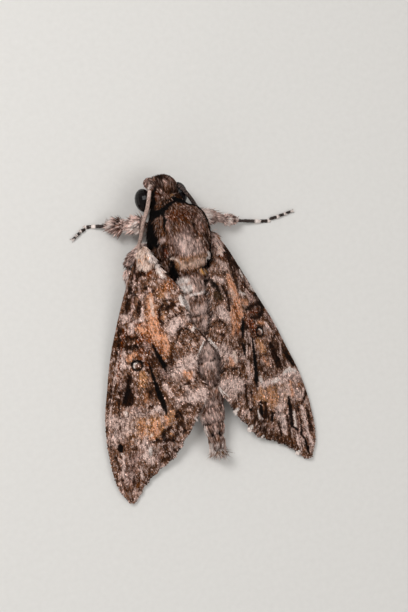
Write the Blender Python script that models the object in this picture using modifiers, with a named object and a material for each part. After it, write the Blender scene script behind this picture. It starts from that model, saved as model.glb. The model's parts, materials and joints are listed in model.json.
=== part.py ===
"""A large hawk moth at rest, life size: roof-like forewings folded back over the body.

Units are metres, with +Z up. The head points to -Y, the moth's left side is +X,
and its feet stand on the plane Z = 0.
Sizes below are written in millimetres and scaled once, in mm().
"""

import math

import bmesh
import bpy
from mathutils import Matrix, Vector

# ---------------------------------------------------------------- driving sizes (mm)
GAP = 0.3              # clearance between neighbouring pieces
WING_THICKNESS = 0.55
WING_ARCH = 1.6        # exponent of the wing's roof shape: higher keeps it flat for longer
HINDWING_DROP = 1.3    # how far the hindwing lies under the forewing
FOLD_DEPTH = 0.16      # height of the folds that run along the wing
FOLDS = 3.5            # waves across the wing
SCALLOPS = 7           # bays along the forewing's outer margin
SCALLOP_DEPTH = 0.38

TRUNK_FRONT = -9.9
TRUNK_REAR = 47.4
TRUNK_SIDES = 20
TRUNK_RINGS = 42
FACE_ROUNDING = 2.8    # lengths over which the face and the tip of the tail close
TAIL_ROUNDING = 1.6
HEAD_SHIFT = 0.9       # the head is held a little to the moth's left

EYE_CENTRE = (3.8, -5.4, 4.7)
EYE_RADII = (1.7, 2.4, 2.4)
PALP_CENTRE = (1.55, -9.0, 3.2)
PALP_RADII = (1.35, 0.95, 1.7)
PALP_LEAN = 0.3
COIL_CENTRE = (-8.6, 1.75)   # y and z of the coiled tongue's middle
COIL_TURNS = 1.6
COIL_STEPS = 16
COIL_START = 0.3
COIL_PITCH = 0.62
COIL_WIRE = 0.26
SOCKET_GAP = 0.34
EGG_SIDES, EGG_RINGS = 14, 10

# The pad over each shoulder: its place along the body, and its angles from the body's top
TEGULA_FRONT, TEGULA_LENGTH = -3.0, 11.8
TEGULA_ANGLE, TEGULA_TURN, TEGULA_SPREAD = 51.0, 8.0, 34.0
TEGULA_WIDTHS = (0.9, 0.45)
TEGULA_HALF_THICKNESS = 0.4

# Where the body is parted: (y, name of the length in front of the cut)
BODY_CUTS = (
    (-4.9, "head"),
    (-3.5, "collar"),
    (11.3, "thorax"),
    (15.2, "abdomen_1"),
    (19.6, "abdomen_2"),
    (24.4, "abdomen_3"),
    (29.2, "abdomen_4"),
    (34.3, "abdomen_5"),
    (38.2, "abdomen_6"),
    (41.8, "abdomen_7"),
    (44.4, "abdomen_8"),
    (TRUNK_REAR, "anal_tuft"),
)

# Body profile: y, half width, top, underside
BODY_PROFILE = (
    (-9.9, 3.4, 7.9, 5.4),
    (-7.0, 3.9, 8.7, 2.4),
    (-4.8, 4.0, 9.2, 1.8),
    (-3.2, 4.1, 10.3, 1.7),
    (-1.2, 5.2, 12.2, 1.4),
    (1.0, 5.75, 12.9, 1.2),
    (4.0, 5.9, 13.1, 1.2),
    (8.0, 5.4, 12.8, 1.3),
    (11.5, 4.5, 10.9, 1.4),
    (15.0, 4.5, 10.6, 1.4),
    (25.0, 4.3, 10.0, 1.4),
    (30.0, 3.8, 8.9, 1.3),
    (35.0, 3.3, 7.5, 1.2),
    (39.0, 3.0, 6.4, 1.15),
    (42.4, 2.45, 5.4, 1.15),
    (45.0, 1.95, 4.5, 1.25),
    (47.4, 1.7, 3.7, 1.6),
)

# Heights of the forewing's upper side: y, at the midline, at the costal edge
WING_HEIGHTS = (
    (0.0, 11.4, 7.5),
    (5.0, 11.4, 6.0),
    (15.0, 11.5, 3.2),
    (25.0, 11.1, 1.8),
    (30.0, 10.1, 1.4),
    (35.0, 8.7, 1.15),
    (40.0, 6.5, 1.1),
    (45.0, 3.6, 1.1),
    (50.0, 1.8, 1.1),
    (56.0, 1.15, 1.1),
)

# Outlines of the left wings seen from above, (x, y), from root to apex
FOREWING_COSTA = (
    (7.4, 3.4), (9.6, 6.0), (12.7, 12.0), (15.4, 18.0), (17.9, 24.0),
    (19.8, 30.0), (21.5, 36.0), (22.3, 43.5), (21.6, 50.5), (19.9, 53.6),
)
FOREWING_INNER = (
    (6.8, 5.6), (5.6, 9.0), (3.3, 13.0), (2.4, 20.5), (0.45, 24.6),
    (2.5, 27.9), (2.8, 31.2), (1.2, 34.8), (3.0, 37.8), (6.0, 42.6),
)
FOREWING_OUTER = ((6.0, 42.6), (8.8, 46.3), (12.3, 48.2), (15.6, 50.3), (19.2, 53.8))
HINDWING_COSTA = ((7.6, 9.0), (10.4, 16.0), (13.0, 24.0), (14.0, 31.0), (13.2, 34.6))
HINDWING_INNER = ((6.1, 10.2), (5.3, 15.0), (5.2, 25.0), (5.9, 33.5))
HINDWING_OUTER = ((5.9, 33.5), (8.4, 36.6), (12.3, 36.2))

# Legs: joints from hip to claw as (x, y, z); the coat's radius at each leg part is below
LEGS = {
    "fore_left": ((5.2, -0.9, 3.2), (8.8, -1.0, 4.1), (12.0, -1.9, 1.6),
                  (13.9, -2.5, 0.34), (16.5, -2.4, 0.34), (19.6, -0.8, 0.34)),
    "mid_left": ((5.4, 3.2, 3.1), (10.9, 6.6, 3.1), (9.9, 11.8, 1.5),
                 (10.1, 14.0, 0.34), (11.2, 17.6, 0.34), (12.4, 21.8, 0.34)),
    "hind_left": ((5.0, 8.3, 2.7), (7.9, 13.4, 4.3), (8.6, 20.6, 1.5),
                  (8.8, 22.8, 0.34), (9.4, 27.4, 0.34), (10.4, 32.0, 0.34)),
    "fore_right": ((-5.2, -0.6, 3.2), (-10.4, 1.3, 4.0), (-14.9, 2.2, 1.6),
                   (-17.0, 2.9, 0.34), (-21.0, 3.3, 0.34), (-27.8, 2.6, 0.34)),
    "mid_right": ((-5.4, 3.2, 3.1), (-9.2, 6.4, 3.2), (-9.7, 11.6, 1.5),
                  (-9.9, 13.8, 0.34), (-10.8, 17.8, 0.34), (-12.2, 22.0, 0.34)),
    "hind_right": ((-5.0, 8.3, 2.7), (-7.9, 13.4, 4.3), (-8.6, 20.6, 1.5),
                   (-8.8, 22.8, 0.34), (-9.4, 27.4, 0.34), (-10.4, 32.0, 0.34)),
}
FEMUR_RADII = (0.95, 1.25, 1.0)
TIBIA_RADII = (0.95, 1.2, 0.7)
TARSUS_RADII = (0.48, 0.42, 0.3)
HIP_IN_BODY, THIGH_SHORT = 0.0, 0.2    # lengths left off at the joints
KNEE_GAP, SHIN_SHORT = 0.9, 0.1
ANKLE_GAP = 0.45
ROUND_END = 0.62       # a limb's end radius as a share of the radius beside it

# Feelers laid back beside the head and tucked under the roots of the forewings
ANTENNAE = {
    "left": ((4.0, -6.9, 8.2), (5.3, -3.6, 8.5), (6.8, -0.6, 8.0), (7.4, 1.6, 6.9),
             (7.8, 3.6, 5.15), (8.1, 6.2, 4.9), (7.7, 9.5, 4.4)),
    "right": ((-2.2, -6.9, 8.1), (-3.2, -5.6, 7.8), (-4.3, -4.2, 6.9), (-5.9, -1.2, 5.6),
              (-6.4, 1.5, 5.2), (-6.6, 4.6, 5.0), (-6.6, 7.4, 4.8)),
}
ANTENNA_RADII = (0.46, 0.52, 0.44, 0.3)
LEG_STEPS, FOOT_STEPS, ANTENNA_STEPS = 5, 9, 14

# Columns and rows of each wing's grid, and the share of its length with an inner edge
FOREWING_GRID = (40, 6)
HINDWING_GRID = (15, 4)
INNER_SHARE = 0.62

COLOURS = {
    "wing": (0.155, 0.105, 0.085, 1.0),
    "hindwing": (0.10, 0.065, 0.05, 1.0),
    "fur": (0.16, 0.10, 0.075, 1.0),
    "leg": (0.30, 0.22, 0.22, 1.0),
    "tarsus": (0.035, 0.022, 0.018, 1.0),
    "antenna": (0.62, 0.45, 0.38, 1.0),
    "eye": (0.006, 0.005, 0.006, 1.0),
    "proboscis": (0.12, 0.05, 0.02, 1.0),
}
ROUGHNESS = {"eye": 0.15, "proboscis": 0.35, "tarsus": 0.6}
FUR_ROUGHNESS = 0.85


def mm(*values):
    """Millimetres to a vector in metres."""
    return Vector(values) * 0.001


# ---------------------------------------------------------------- small helpers
def smooth_at(knots, t):
    """Value of a smooth curve through knots (t, a, b, ...) at t, with linear ends."""
    last = len(knots) - 1
    t = min(max(t, knots[0][0]), knots[last][0])
    i = max(k for k in range(last) if knots[k][0] <= t)
    t0, t1 = knots[i][0], knots[i + 1][0]
    u = (t - t0) / (t1 - t0)
    values = []
    for c in range(1, len(knots[0])):
        v0, v1 = knots[i][c], knots[i + 1][c]
        chord = (v1 - v0) / (t1 - t0)
        before = (v0 - knots[i - 1][c]) / (t0 - knots[i - 1][0]) if i > 0 else chord
        after = (knots[i + 2][c] - v1) / (knots[i + 2][0] - t1) if i + 2 <= last else chord
        m0, m1 = (before + chord) / 2, (after + chord) / 2
        blend = u * u * (3 - 2 * u)
        values.append(v0 + (v1 - v0) * blend
                      + (t1 - t0) * u * (1 - u) * (m0 * (1 - u) - m1 * u))
    return values


def by_length(points):
    """Points of a route as knots whose parameter runs from 0 to 1 along its length."""
    lengths = [0.0]
    for a, b in zip(points, points[1:]):
        lengths.append(lengths[-1] + math.dist(a, b))
    return [(length / lengths[-1], *p) for length, p in zip(lengths, points)]


def material(name):
    """The Principled material of a kind of surface, made once."""
    made = bpy.data.materials.get(name)
    if made:
        return made
    made = bpy.data.materials.new(name)
    made.use_nodes = True
    made.diffuse_color = COLOURS[name]
    shader = made.node_tree.nodes["Principled BSDF"]
    shader.inputs["Base Color"].default_value = COLOURS[name]
    shader.inputs["Roughness"].default_value = ROUGHNESS.get(name, FUR_ROUGHNESS)
    shader.inputs["Metallic"].default_value = 0.0
    return made


def collection(name):
    made = bpy.data.collections.new(name)
    bpy.context.scene.collection.children.link(made)
    return made


def add_solid(name, bm, finish, parent, group):
    """A closed bmesh as an object of the moth, with its faces turned outwards."""
    bm.normal_update()
    bmesh.ops.recalc_face_normals(bm, faces=bm.faces)
    if bm.calc_volume(signed=True) < 0:
        bmesh.ops.reverse_faces(bm, faces=bm.faces)
    return add(name, bm, finish, parent, group)


def add(name, bm, finish, parent, group):
    """A bmesh as a named, smooth-shaded object of the moth."""
    mesh = bpy.data.meshes.new(name)
    bm.to_mesh(mesh)
    bm.free()
    mesh.shade_smooth()
    mesh.materials.append(material(finish))
    obj = bpy.data.objects.new(name, mesh)
    obj.parent = parent
    group.objects.link(obj)
    return obj


def ball(segments, rings):
    """A unit sphere whose poles lie on the Y axis."""
    bm = bmesh.new()
    bmesh.ops.create_uvsphere(bm, u_segments=segments, v_segments=rings, radius=1.0,
                              matrix=Matrix.Rotation(math.pi / 2, 4, "X"))
    return bm


# ---------------------------------------------------------------- body
def body_point(y, side, up, lift=0.0):
    """A point of the body's skin at y, in the direction (side, up) from its core, in mm."""
    half_width, top, underside = smooth_at(BODY_PROFILE, y)
    centre = (top + underside) / 2
    half_height = (top - underside) / 2
    shift = HEAD_SHIFT * min(max((-2.0 - y) / 3.0, 0.0), 1.0)
    return (side * (half_width + lift) + shift, y, centre + up * (half_height + lift))


def body_form():
    """The whole body from the face to the tip, as one closed form."""
    bm = ball(TRUNK_SIDES, TRUNK_RINGS)
    for v in bm.verts:
        along = (1 + v.co.y) / 2
        y = TRUNK_FRONT + (TRUNK_REAR - TRUNK_FRONT) * along
        around = math.hypot(v.co.x, v.co.z)
        if around < 1e-5:
            _, top, underside = smooth_at(BODY_PROFILE, y)
            v.co = mm(HEAD_SHIFT if y < 0 else 0.0, y, (top + underside) / 2)
            continue
        side, up = v.co.x / around, v.co.z / around
        full = Vector(body_point(y, side, up))
        core = Vector((full.x - side * smooth_at(BODY_PROFILE, y)[0], y,
                       sum(smooth_at(BODY_PROFILE, y)[1:]) / 2))
        reach = min(y - TRUNK_FRONT, TRUNK_REAR - y)
        rounding = FACE_ROUNDING if y < 0 else TAIL_ROUNDING
        closing = math.sqrt(max(1 - max(1 - reach / rounding, 0.0) ** 2, 0.0))
        point = core + (full - core) * closing
        v.co = mm(*point)
    return bm


def slice_between(form, y_front, y_rear):
    """A copy of a form cut square at two places along the body."""
    part = form.copy()
    for y, outwards in ((y_front, -1), (y_rear, 1)):
        if y is None:
            continue
        geometry = part.verts[:] + part.edges[:] + part.faces[:]
        cut = bmesh.ops.bisect_plane(part, geom=geometry, plane_co=mm(0, y, 0),
                                     plane_no=(0, outwards, 0), clear_outer=True)
        rim = [e for e in cut["geom_cut"] if isinstance(e, bmesh.types.BMEdge)]
        bmesh.ops.holes_fill(part, edges=rim)
    return part


def body_lengths(parent, group):
    """Head, collar, thorax and the lengths of the abdomen, parted by thin cuts."""
    form = body_form()
    made = {}
    front = None
    for y, name in BODY_CUTS:
        rear = None if y == TRUNK_REAR else y - GAP / 2
        piece = slice_between(form, front, rear)
        made[name] = add_solid(name, piece, "fur", parent, group)
        front = y + GAP / 2
    form.free()
    return made


def egg(name, side, centre, radii, finish, parent, group, lean=0.0):
    """An ellipsoid at one side of the head, its upper end leaning forwards."""
    bm = ball(EGG_SIDES, EGG_RINGS)
    for v in bm.verts:
        offset = [v.co[i] * radii[i] for i in range(3)]
        v.co = mm(side * centre[0] + HEAD_SHIFT + offset[0],
                  centre[1] + offset[1] - lean * offset[2], centre[2] + offset[2])
    return add_solid(name, bm, finish, parent, group)


def hollow(pieces, cutter):
    """Cuts a cutter's shape out of pieces."""
    cutter.hide_render = True
    cutter.display_type = "WIRE"
    for piece in pieces:
        cut = piece.modifiers.new(cutter.name, "BOOLEAN")
        cut.operation = "DIFFERENCE"
        cut.object = cutter


def proboscis(parent, group):
    """The tongue, coiled like a watch spring under the palps."""
    points = []
    for i in range(COIL_STEPS + 1):
        turns = COIL_TURNS * i / COIL_STEPS
        angle = 2 * math.pi * turns
        radius = COIL_START + COIL_PITCH * turns
        points.append((HEAD_SHIFT, COIL_CENTRE[0] - radius * math.cos(angle),
                       COIL_CENTRE[1] + radius * math.sin(angle)))
    radii = [COIL_WIRE] * len(points)
    return tube("proboscis", points, radii, "proboscis", parent, group)


def tegula(name, side, parent, group):
    """A pad of long scales that covers the shoulder and the wing's root."""
    bm = ball(EGG_SIDES, EGG_RINGS)
    for v in bm.verts:
        x, y, z = v.co
        along = (1 + y) / 2
        width = TEGULA_WIDTHS[0] + (TEGULA_WIDTHS[1] - TEGULA_WIDTHS[0]) * along
        angle = math.radians(TEGULA_ANGLE - TEGULA_TURN * along + TEGULA_SPREAD * width * x)
        lift = GAP + TEGULA_HALF_THICKNESS * (1.1 + z)
        v.co = mm(*body_point(TEGULA_FRONT + TEGULA_LENGTH * along, side * math.sin(angle),
                              math.cos(angle), lift))
    return add_solid(name, bm, "fur", parent, group)


# ---------------------------------------------------------------- tubes: legs and feelers
def tube(name, points, radii, finish, parent, group, floor=None):
    """A closed round rod along points with a radius at each; floor flattens its underside."""
    curve = bpy.data.curves.new(name, "CURVE")
    curve.dimensions = "3D"
    curve.bevel_depth = 0.001
    curve.bevel_resolution = 2
    curve.use_fill_caps = True
    spline = curve.splines.new("POLY")
    spline.points.add(len(points) - 1)
    for knot, place, radius in zip(spline.points, points, radii):
        knot.co = (*mm(*place), 1)
        knot.radius = radius
    guide = bpy.data.objects.new(name, curve)
    group.objects.link(guide)
    evaluated = guide.evaluated_get(bpy.context.evaluated_depsgraph_get())
    mesh = bpy.data.meshes.new_from_object(evaluated)
    bpy.data.objects.remove(guide)
    bm = bmesh.new()
    bm.from_mesh(mesh)
    bpy.data.meshes.remove(mesh)
    bmesh.ops.remove_doubles(bm, verts=bm.verts, dist=1e-6)
    if floor is not None:
        for v in bm.verts:
            v.co.z = max(v.co.z, floor * 0.001)
    return add_solid(name, bm, finish, parent, group)


def limb(name, route, radii, steps, finish, parent, group, floor=None):
    """A leg part along a smooth route, with rounded ends and radii blended along it."""
    knots = by_length(route)
    widths = [(i / (len(radii) - 1), r) for i, r in enumerate(radii)]
    points, sizes = [], []
    for i in range(steps + 1):
        t = i / steps
        end = min(t, 1 - t) * steps
        points.append(smooth_at(knots, t))
        sizes.append(smooth_at(widths, t)[0] * (ROUND_END if end < 0.5 else 1.0))
    return tube(name, points, sizes, finish, parent, group, floor)


def shortened(a, b, start, end):
    """The stretch from a to b with a length taken off each end."""
    a, b = Vector(a), Vector(b)
    along = (b - a).normalized()
    return tuple(a + along * start), tuple(b - along * end)


def leg(name, joints, parent, group):
    hip, knee, ankle = joints[:3]
    foot = joints[3:]
    a, b = shortened(hip, knee, HIP_IN_BODY, THIGH_SHORT)
    limb(f"femur_{name}", (a, b), FEMUR_RADII, LEG_STEPS, "leg", parent, group)
    a, b = shortened(knee, ankle, KNEE_GAP, SHIN_SHORT)
    limb(f"tibia_{name}", (a, b), TIBIA_RADII, LEG_STEPS, "leg", parent, group)
    start = shortened(ankle, foot[0], ANKLE_GAP, 0.0)[0]
    limb(f"tarsus_{name}", (start, *foot), TARSUS_RADII, FOOT_STEPS, "tarsus", parent, group,
         floor=0.0)


# ---------------------------------------------------------------- wings
def costa_x(y):
    """Distance of the forewing's front edge from the midline at y."""
    return smooth_at([(p[1], p[0]) for p in FOREWING_COSTA], y)[0]


def wing_height(x, y):
    """Height of the forewing's upper side above the floor: a roof that bends down outwards."""
    ridge, edge = smooth_at(WING_HEIGHTS, y)
    outwards = min(abs(x) / costa_x(y), 1.0)
    return edge + (ridge - edge) * (1 - outwards ** WING_ARCH)


def fold(across, along):
    """Height of the folds that fan out along the wing, none at its edges and root."""
    wave = math.sin(2 * math.pi * FOLDS * across)
    return FOLD_DEPTH * wave * math.sin(math.pi * across) * min(along / 0.3, 1.0)


def scallop(t):
    """How far the outer margin is cut back between two veins, t along the margin."""
    return SCALLOP_DEPTH * abs(math.sin(math.pi * SCALLOPS * t)) * min(4 * (1 - t), 1.0)


def wing(name, side, edges, grid, drop, finish, scalloped, parent, group):
    """A thin wing between its front edge and its inner and outer edges."""
    costa, inner, outer = (by_length(edge) for edge in edges)
    bm = bmesh.new()
    bmesh.ops.create_grid(bm, x_segments=grid[0], y_segments=grid[1], size=1.0)
    for v in bm.verts:
        along, across = (1 + v.co.x) / 2, (1 + v.co.y) / 2
        front = Vector(smooth_at(costa, along))
        if along < INNER_SHARE:
            rear = Vector(smooth_at(inner, along / INNER_SHARE))
        else:
            t = (along - INNER_SHARE) / (1 - INNER_SHARE)
            rear = Vector(smooth_at(outer, t))
            if scalloped:
                rear += (front - rear).normalized() * scallop(t)
        x, y = front.lerp(rear, across)
        z = wing_height(x, y) + fold(across, along) - drop
        v.co = mm(side * x, y, z)
    bm.normal_update()
    if sum(f.normal.z for f in bm.faces) < 0:
        bmesh.ops.reverse_faces(bm, faces=bm.faces)
    obj = add(name, bm, finish, parent, group)
    wall = obj.modifiers.new("thickness", "SOLIDIFY")
    wall.thickness = WING_THICKNESS * 0.001
    wall.offset = -1
    return obj


def centre_on_floor(parent, objects):
    """Moves the moth so that the middle of its box's underside is the origin."""
    bpy.context.view_layer.update()
    graph = bpy.context.evaluated_depsgraph_get()
    corners = []
    for obj in objects:
        mesh = obj.evaluated_get(graph).data
        corners += [v.co.copy() for v in mesh.vertices]
    low = [min(c[i] for c in corners) for i in range(3)]
    high = [max(c[i] for c in corners) for i in range(3)]
    parent.location = (-(low[0] + high[0]) / 2, -(low[1] + high[1]) / 2, -low[2])


def main():
    for obj in list(bpy.data.objects):
        bpy.data.objects.remove(obj)
    group = collection("hawk_moth")
    cutters = collection("cutters")
    moth = bpy.data.objects.new("moth", None)
    group.objects.link(moth)

    body = body_lengths(moth, group)
    front = [body[name] for name in ("head", "collar", "thorax")]
    proboscis(moth, group)
    for side, word in ((1, "left"), (-1, "right")):
        egg(f"eye_{word}", side, EYE_CENTRE, EYE_RADII, "eye", moth, group)
        grown = [radius + SOCKET_GAP for radius in EYE_RADII]
        hollow(front, egg(f"eye_cutter_{word}", side, EYE_CENTRE, grown, "eye", moth, cutters))
        egg(f"palp_{word}", side, PALP_CENTRE, PALP_RADII, "fur", moth, group, PALP_LEAN)
        tegula(f"tegula_{word}", side, moth, group)
        limb(f"antenna_{word}", ANTENNAE[word], ANTENNA_RADII, ANTENNA_STEPS, "antenna",
             moth, group)
        wing(f"forewing_{word}", side, (FOREWING_COSTA, FOREWING_INNER, FOREWING_OUTER),
             FOREWING_GRID, 0.0, "wing", True, moth, group)
        wing(f"hindwing_{word}", side, (HINDWING_COSTA, HINDWING_INNER, HINDWING_OUTER),
             HINDWING_GRID, HINDWING_DROP, "hindwing", False, moth, group)
    for name, joints in LEGS.items():
        leg(name, joints, moth, group)

    centre_on_floor(moth, [o for o in group.objects if o.type == "MESH"])


main()
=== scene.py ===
"""The looks of a large hawk moth at rest, life size, as a museum model.

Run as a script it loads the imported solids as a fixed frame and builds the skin, the coat of
hair-scales, the wing scales, eyes, feelers and feet around them. Lengths in the tables are
millimetres from the middle of the thorax, with the head at -Y and the moth's left at +X.
"""

import collections
import itertools
import json
import math

import bpy
import numpy as np
from mathutils import Matrix, Vector

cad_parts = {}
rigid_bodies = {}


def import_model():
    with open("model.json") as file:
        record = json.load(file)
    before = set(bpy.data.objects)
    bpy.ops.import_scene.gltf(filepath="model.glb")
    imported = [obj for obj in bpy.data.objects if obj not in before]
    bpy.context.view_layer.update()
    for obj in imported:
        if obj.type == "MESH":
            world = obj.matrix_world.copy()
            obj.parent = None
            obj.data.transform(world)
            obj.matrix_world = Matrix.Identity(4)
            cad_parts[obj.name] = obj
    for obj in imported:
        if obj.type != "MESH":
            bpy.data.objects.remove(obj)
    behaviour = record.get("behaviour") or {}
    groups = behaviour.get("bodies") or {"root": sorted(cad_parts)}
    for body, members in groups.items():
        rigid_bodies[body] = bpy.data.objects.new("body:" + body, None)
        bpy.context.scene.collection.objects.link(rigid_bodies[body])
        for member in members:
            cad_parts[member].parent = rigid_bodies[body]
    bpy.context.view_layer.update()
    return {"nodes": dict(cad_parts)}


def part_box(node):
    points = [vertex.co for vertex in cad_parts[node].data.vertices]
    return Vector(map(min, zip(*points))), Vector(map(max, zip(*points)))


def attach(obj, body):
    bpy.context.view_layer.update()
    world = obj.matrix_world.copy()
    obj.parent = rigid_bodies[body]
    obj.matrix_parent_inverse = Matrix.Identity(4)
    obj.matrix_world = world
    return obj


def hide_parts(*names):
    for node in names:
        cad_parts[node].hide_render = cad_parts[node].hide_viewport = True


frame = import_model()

bl_info = {
    "name": "Hawk Moth at Rest",
    "version": (1, 0, 0),
    "blender": (4, 5, 0),
    "location": "3D View > Sidebar > Moth",
    "description": "Builds the skin, coat, wing scales, eyes and feelers of a resting hawk moth",
    "category": "Object",
}

# ---------------------------------------------------------------- the frame in millimetres
MM = 0.001
THORAX_REAR = 11.15
thorax_low, thorax_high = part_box("thorax")
ORIGIN = np.array(((thorax_low.x + thorax_high.x) / 2, thorax_high.y - THORAX_REAR * MM, 0.0))

SIDES = (("left", 1), ("right", -1))
LEGS = ("fore", "mid", "hind")


def placed(points):
    """Points of the moth in millimetres as places in the frame, in metres."""
    return np.asarray(points, float) * MM + ORIGIN


def measured(points):
    """Places in the frame as points of the moth in millimetres."""
    return (np.asarray(points, float) - ORIGIN) / MM


# ---------------------------------------------------------------- wing outlines (mm)
WING_ARCH = 1.6
HINDWING_DROP = 1.3
FOLD_DEPTH = 0.16
FOLDS = 3.5
SCALLOPS = 7
SCALLOP_DEPTH = 0.38
INNER_SHARE = 0.62
WING_HEIGHTS = (
    (0.0, 11.4, 7.5), (5.0, 11.4, 6.0), (15.0, 11.5, 3.2), (25.0, 11.1, 1.8), (30.0, 10.1, 1.4),
    (35.0, 8.7, 1.15), (40.0, 6.5, 1.1), (45.0, 3.6, 1.1), (50.0, 1.8, 1.1), (56.0, 1.15, 1.1),
)
FOREWING = (
    ((7.4, 3.4), (9.6, 6.0), (12.7, 12.0), (15.4, 18.0), (17.9, 24.0),
     (19.8, 30.0), (21.5, 36.0), (22.3, 43.5), (21.6, 50.5), (19.9, 53.6)),
    ((6.8, 5.6), (5.6, 9.0), (3.3, 13.0), (2.4, 20.5), (0.45, 24.6),
     (2.5, 27.9), (2.8, 31.2), (1.2, 34.8), (3.0, 37.8), (6.0, 42.6)),
    ((6.0, 42.6), (8.8, 46.3), (12.3, 48.2), (15.6, 50.3), (19.2, 53.8)),
)
HINDWING = (
    ((7.6, 9.0), (10.4, 16.0), (13.0, 24.0), (14.0, 31.0), (13.2, 34.6)),
    ((6.1, 10.2), (5.3, 15.0), (5.2, 25.0), (5.9, 33.5)),
    ((5.9, 33.5), (8.4, 36.6), (12.3, 36.2)),
)
# Veins of the forewing's outer half, from the end of the cell to the margin
VEINS = (
    ((12.2, 30.5), (10.6, 39.0), (8.8, 46.3)),
    ((12.6, 29.5), (11.9, 39.0), (10.6, 47.4)),
    ((13.0, 29.0), (13.4, 39.0), (12.4, 48.2)),
    ((13.4, 28.6), (15.2, 39.0), (14.2, 49.3)),
    ((13.9, 28.4), (16.9, 39.0), (16.0, 50.6)),
    ((14.6, 28.6), (18.5, 39.0), (17.9, 52.4)),
    ((15.6, 28.8), (20.1, 39.0), (19.7, 52.6)),
)
VEIN_HEIGHT = 0.07
VEIN_WIDTH = 0.28

# ---------------------------------------------------------------- body and limbs (mm)
HEAD_SHIFT = 0.9
BODY_PROFILE = (
    (-9.9, 3.4, 7.9, 5.4), (-7.0, 3.9, 8.7, 2.4), (-4.8, 4.0, 9.2, 1.8), (-3.2, 4.1, 10.3, 1.7),
    (-1.2, 5.2, 12.2, 1.4), (1.0, 5.75, 12.9, 1.2), (4.0, 5.9, 13.1, 1.2), (8.0, 5.4, 12.8, 1.3),
    (11.5, 4.5, 10.9, 1.4), (15.0, 4.5, 10.6, 1.4), (25.0, 4.3, 10.0, 1.4), (30.0, 3.8, 8.9, 1.3),
    (35.0, 3.3, 7.5, 1.2), (39.0, 3.0, 6.4, 1.15), (42.4, 2.45, 5.4, 1.15), (45.0, 1.95, 4.5, 1.25),
    (47.4, 1.7, 3.7, 1.6),
)
SEGMENT_ENDS = (15.2, 19.6, 24.4, 29.2, 34.3, 38.2, 41.8, 44.4)
EYE = (3.8, -5.4, 4.7)
LEG_JOINTS = {
    "fore_left": ((5.2, -0.9, 3.2), (8.8, -1.0, 4.1), (12.0, -1.9, 1.6),
                  (13.9, -2.5, 0.34), (16.5, -2.4, 0.34), (19.6, -0.8, 0.34)),
    "mid_left": ((5.4, 3.2, 3.1), (10.9, 6.6, 3.1), (9.9, 11.8, 1.5),
                 (10.1, 14.0, 0.34), (11.2, 17.6, 0.34), (12.4, 21.8, 0.34)),
    "hind_left": ((5.0, 8.3, 2.7), (7.9, 13.4, 4.3), (8.6, 20.6, 1.5),
                  (8.8, 22.8, 0.34), (9.4, 27.4, 0.34), (10.4, 32.0, 0.34)),
    "fore_right": ((-5.2, -0.6, 3.2), (-10.4, 1.3, 4.0), (-14.9, 2.2, 1.6),
                   (-17.0, 2.9, 0.34), (-21.0, 3.3, 0.34), (-27.8, 2.6, 0.34)),
    "mid_right": ((-5.4, 3.2, 3.1), (-9.2, 6.4, 3.2), (-9.7, 11.6, 1.5),
                  (-9.9, 13.8, 0.34), (-10.8, 17.8, 0.34), (-12.2, 22.0, 0.34)),
}
LEG_JOINTS["hind_right"] = tuple((-x, y, z) for x, y, z in LEG_JOINTS["hind_left"])
TARSUS_RADII = (0.48, 0.42, 0.3)
ANTENNAE = {
    "left": ((4.0, -6.9, 8.2), (5.3, -3.6, 8.5), (6.8, -0.6, 8.0), (7.4, 1.6, 6.9),
             (7.8, 3.6, 5.15), (8.1, 6.2, 4.9), (7.7, 9.5, 4.4)),
    "right": ((-2.2, -6.9, 8.1), (-3.2, -5.6, 7.8), (-4.3, -4.2, 6.9), (-5.9, -1.2, 5.6),
              (-6.4, 1.5, 5.2), (-6.6, 4.6, 5.0), (-6.6, 7.4, 4.8)),
}
ANTENNA_RADII = (0.46, 0.52, 0.44, 0.3)

FLESH = (
    ["head", "collar", "thorax", "anal_tuft"]
    + [f"abdomen_{n}" for n in range(1, 9)]
    + [f"{part}_{word}" for word, _ in SIDES for part in ("palp", "tegula")]
    + [f"{part}_{leg}_{word}" for word, _ in SIDES for leg in LEGS for part in ("femur", "tibia")]
)


# ---------------------------------------------------------------- colours
def srgb(code):
    """A colour written as six hex digits, as linear red, green and blue."""
    values = [int(code[i:i + 2], 16) / 255 for i in (0, 2, 4)]
    return tuple(v / 12.92 if v <= 0.04045 else ((v + 0.055) / 1.055) ** 2.4 for v in values)


# ---------------------------------------------------------------- numbers over many points
NOISE_KEYS = np.array((73, 1129, 3571))
NOISE_VALUES = 4096


def noise(points, size, seed):
    """Smooth noise from 0 to 1 at each point, with features about size across."""
    grid = points / size
    cell = np.floor(grid).astype(np.int64)
    part = grid - cell
    part = part * part * (3 - 2 * part)
    dims = points.shape[1]
    values = np.random.default_rng(seed).random(NOISE_VALUES)
    total = np.zeros(len(points))
    for corner in itertools.product((0, 1), repeat=dims):
        weight = np.prod(np.where(corner, part, 1 - part), axis=1)
        total += weight * values[(cell + corner) @ NOISE_KEYS[:dims] % NOISE_VALUES]
    return total


def wobble(points, sizes, drawn, seed):
    """Sideways and lengthwise shifts by noise of two sizes, the lengthwise ones drawn out."""
    return np.column_stack([stretch * (noise(points, size, seed + k) - 0.5)
                            for k, (size, stretch) in enumerate(zip(sizes, (1, drawn)))])


STREAK_STEPS, STREAK_GAIN = 7, 6.0


def streaks(points, lie, width, length, seed):
    """Noise from about -1 to 1 that is drawn out along each point's lie."""
    total = np.zeros(len(points))
    for k in range(STREAK_STEPS):
        shift = (k / (STREAK_STEPS - 1) - 0.5) * length
        total += noise(points + lie * shift, width, seed) - 0.5
    return np.clip(total / STREAK_STEPS * STREAK_GAIN, -1.0, 1.0)


def smooth(low, high, values):
    """0 below low, 1 above high and a smooth rise between."""
    t = np.clip((values - low) / (high - low), 0.0, 1.0)
    return t * t * (3 - 2 * t)


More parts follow.
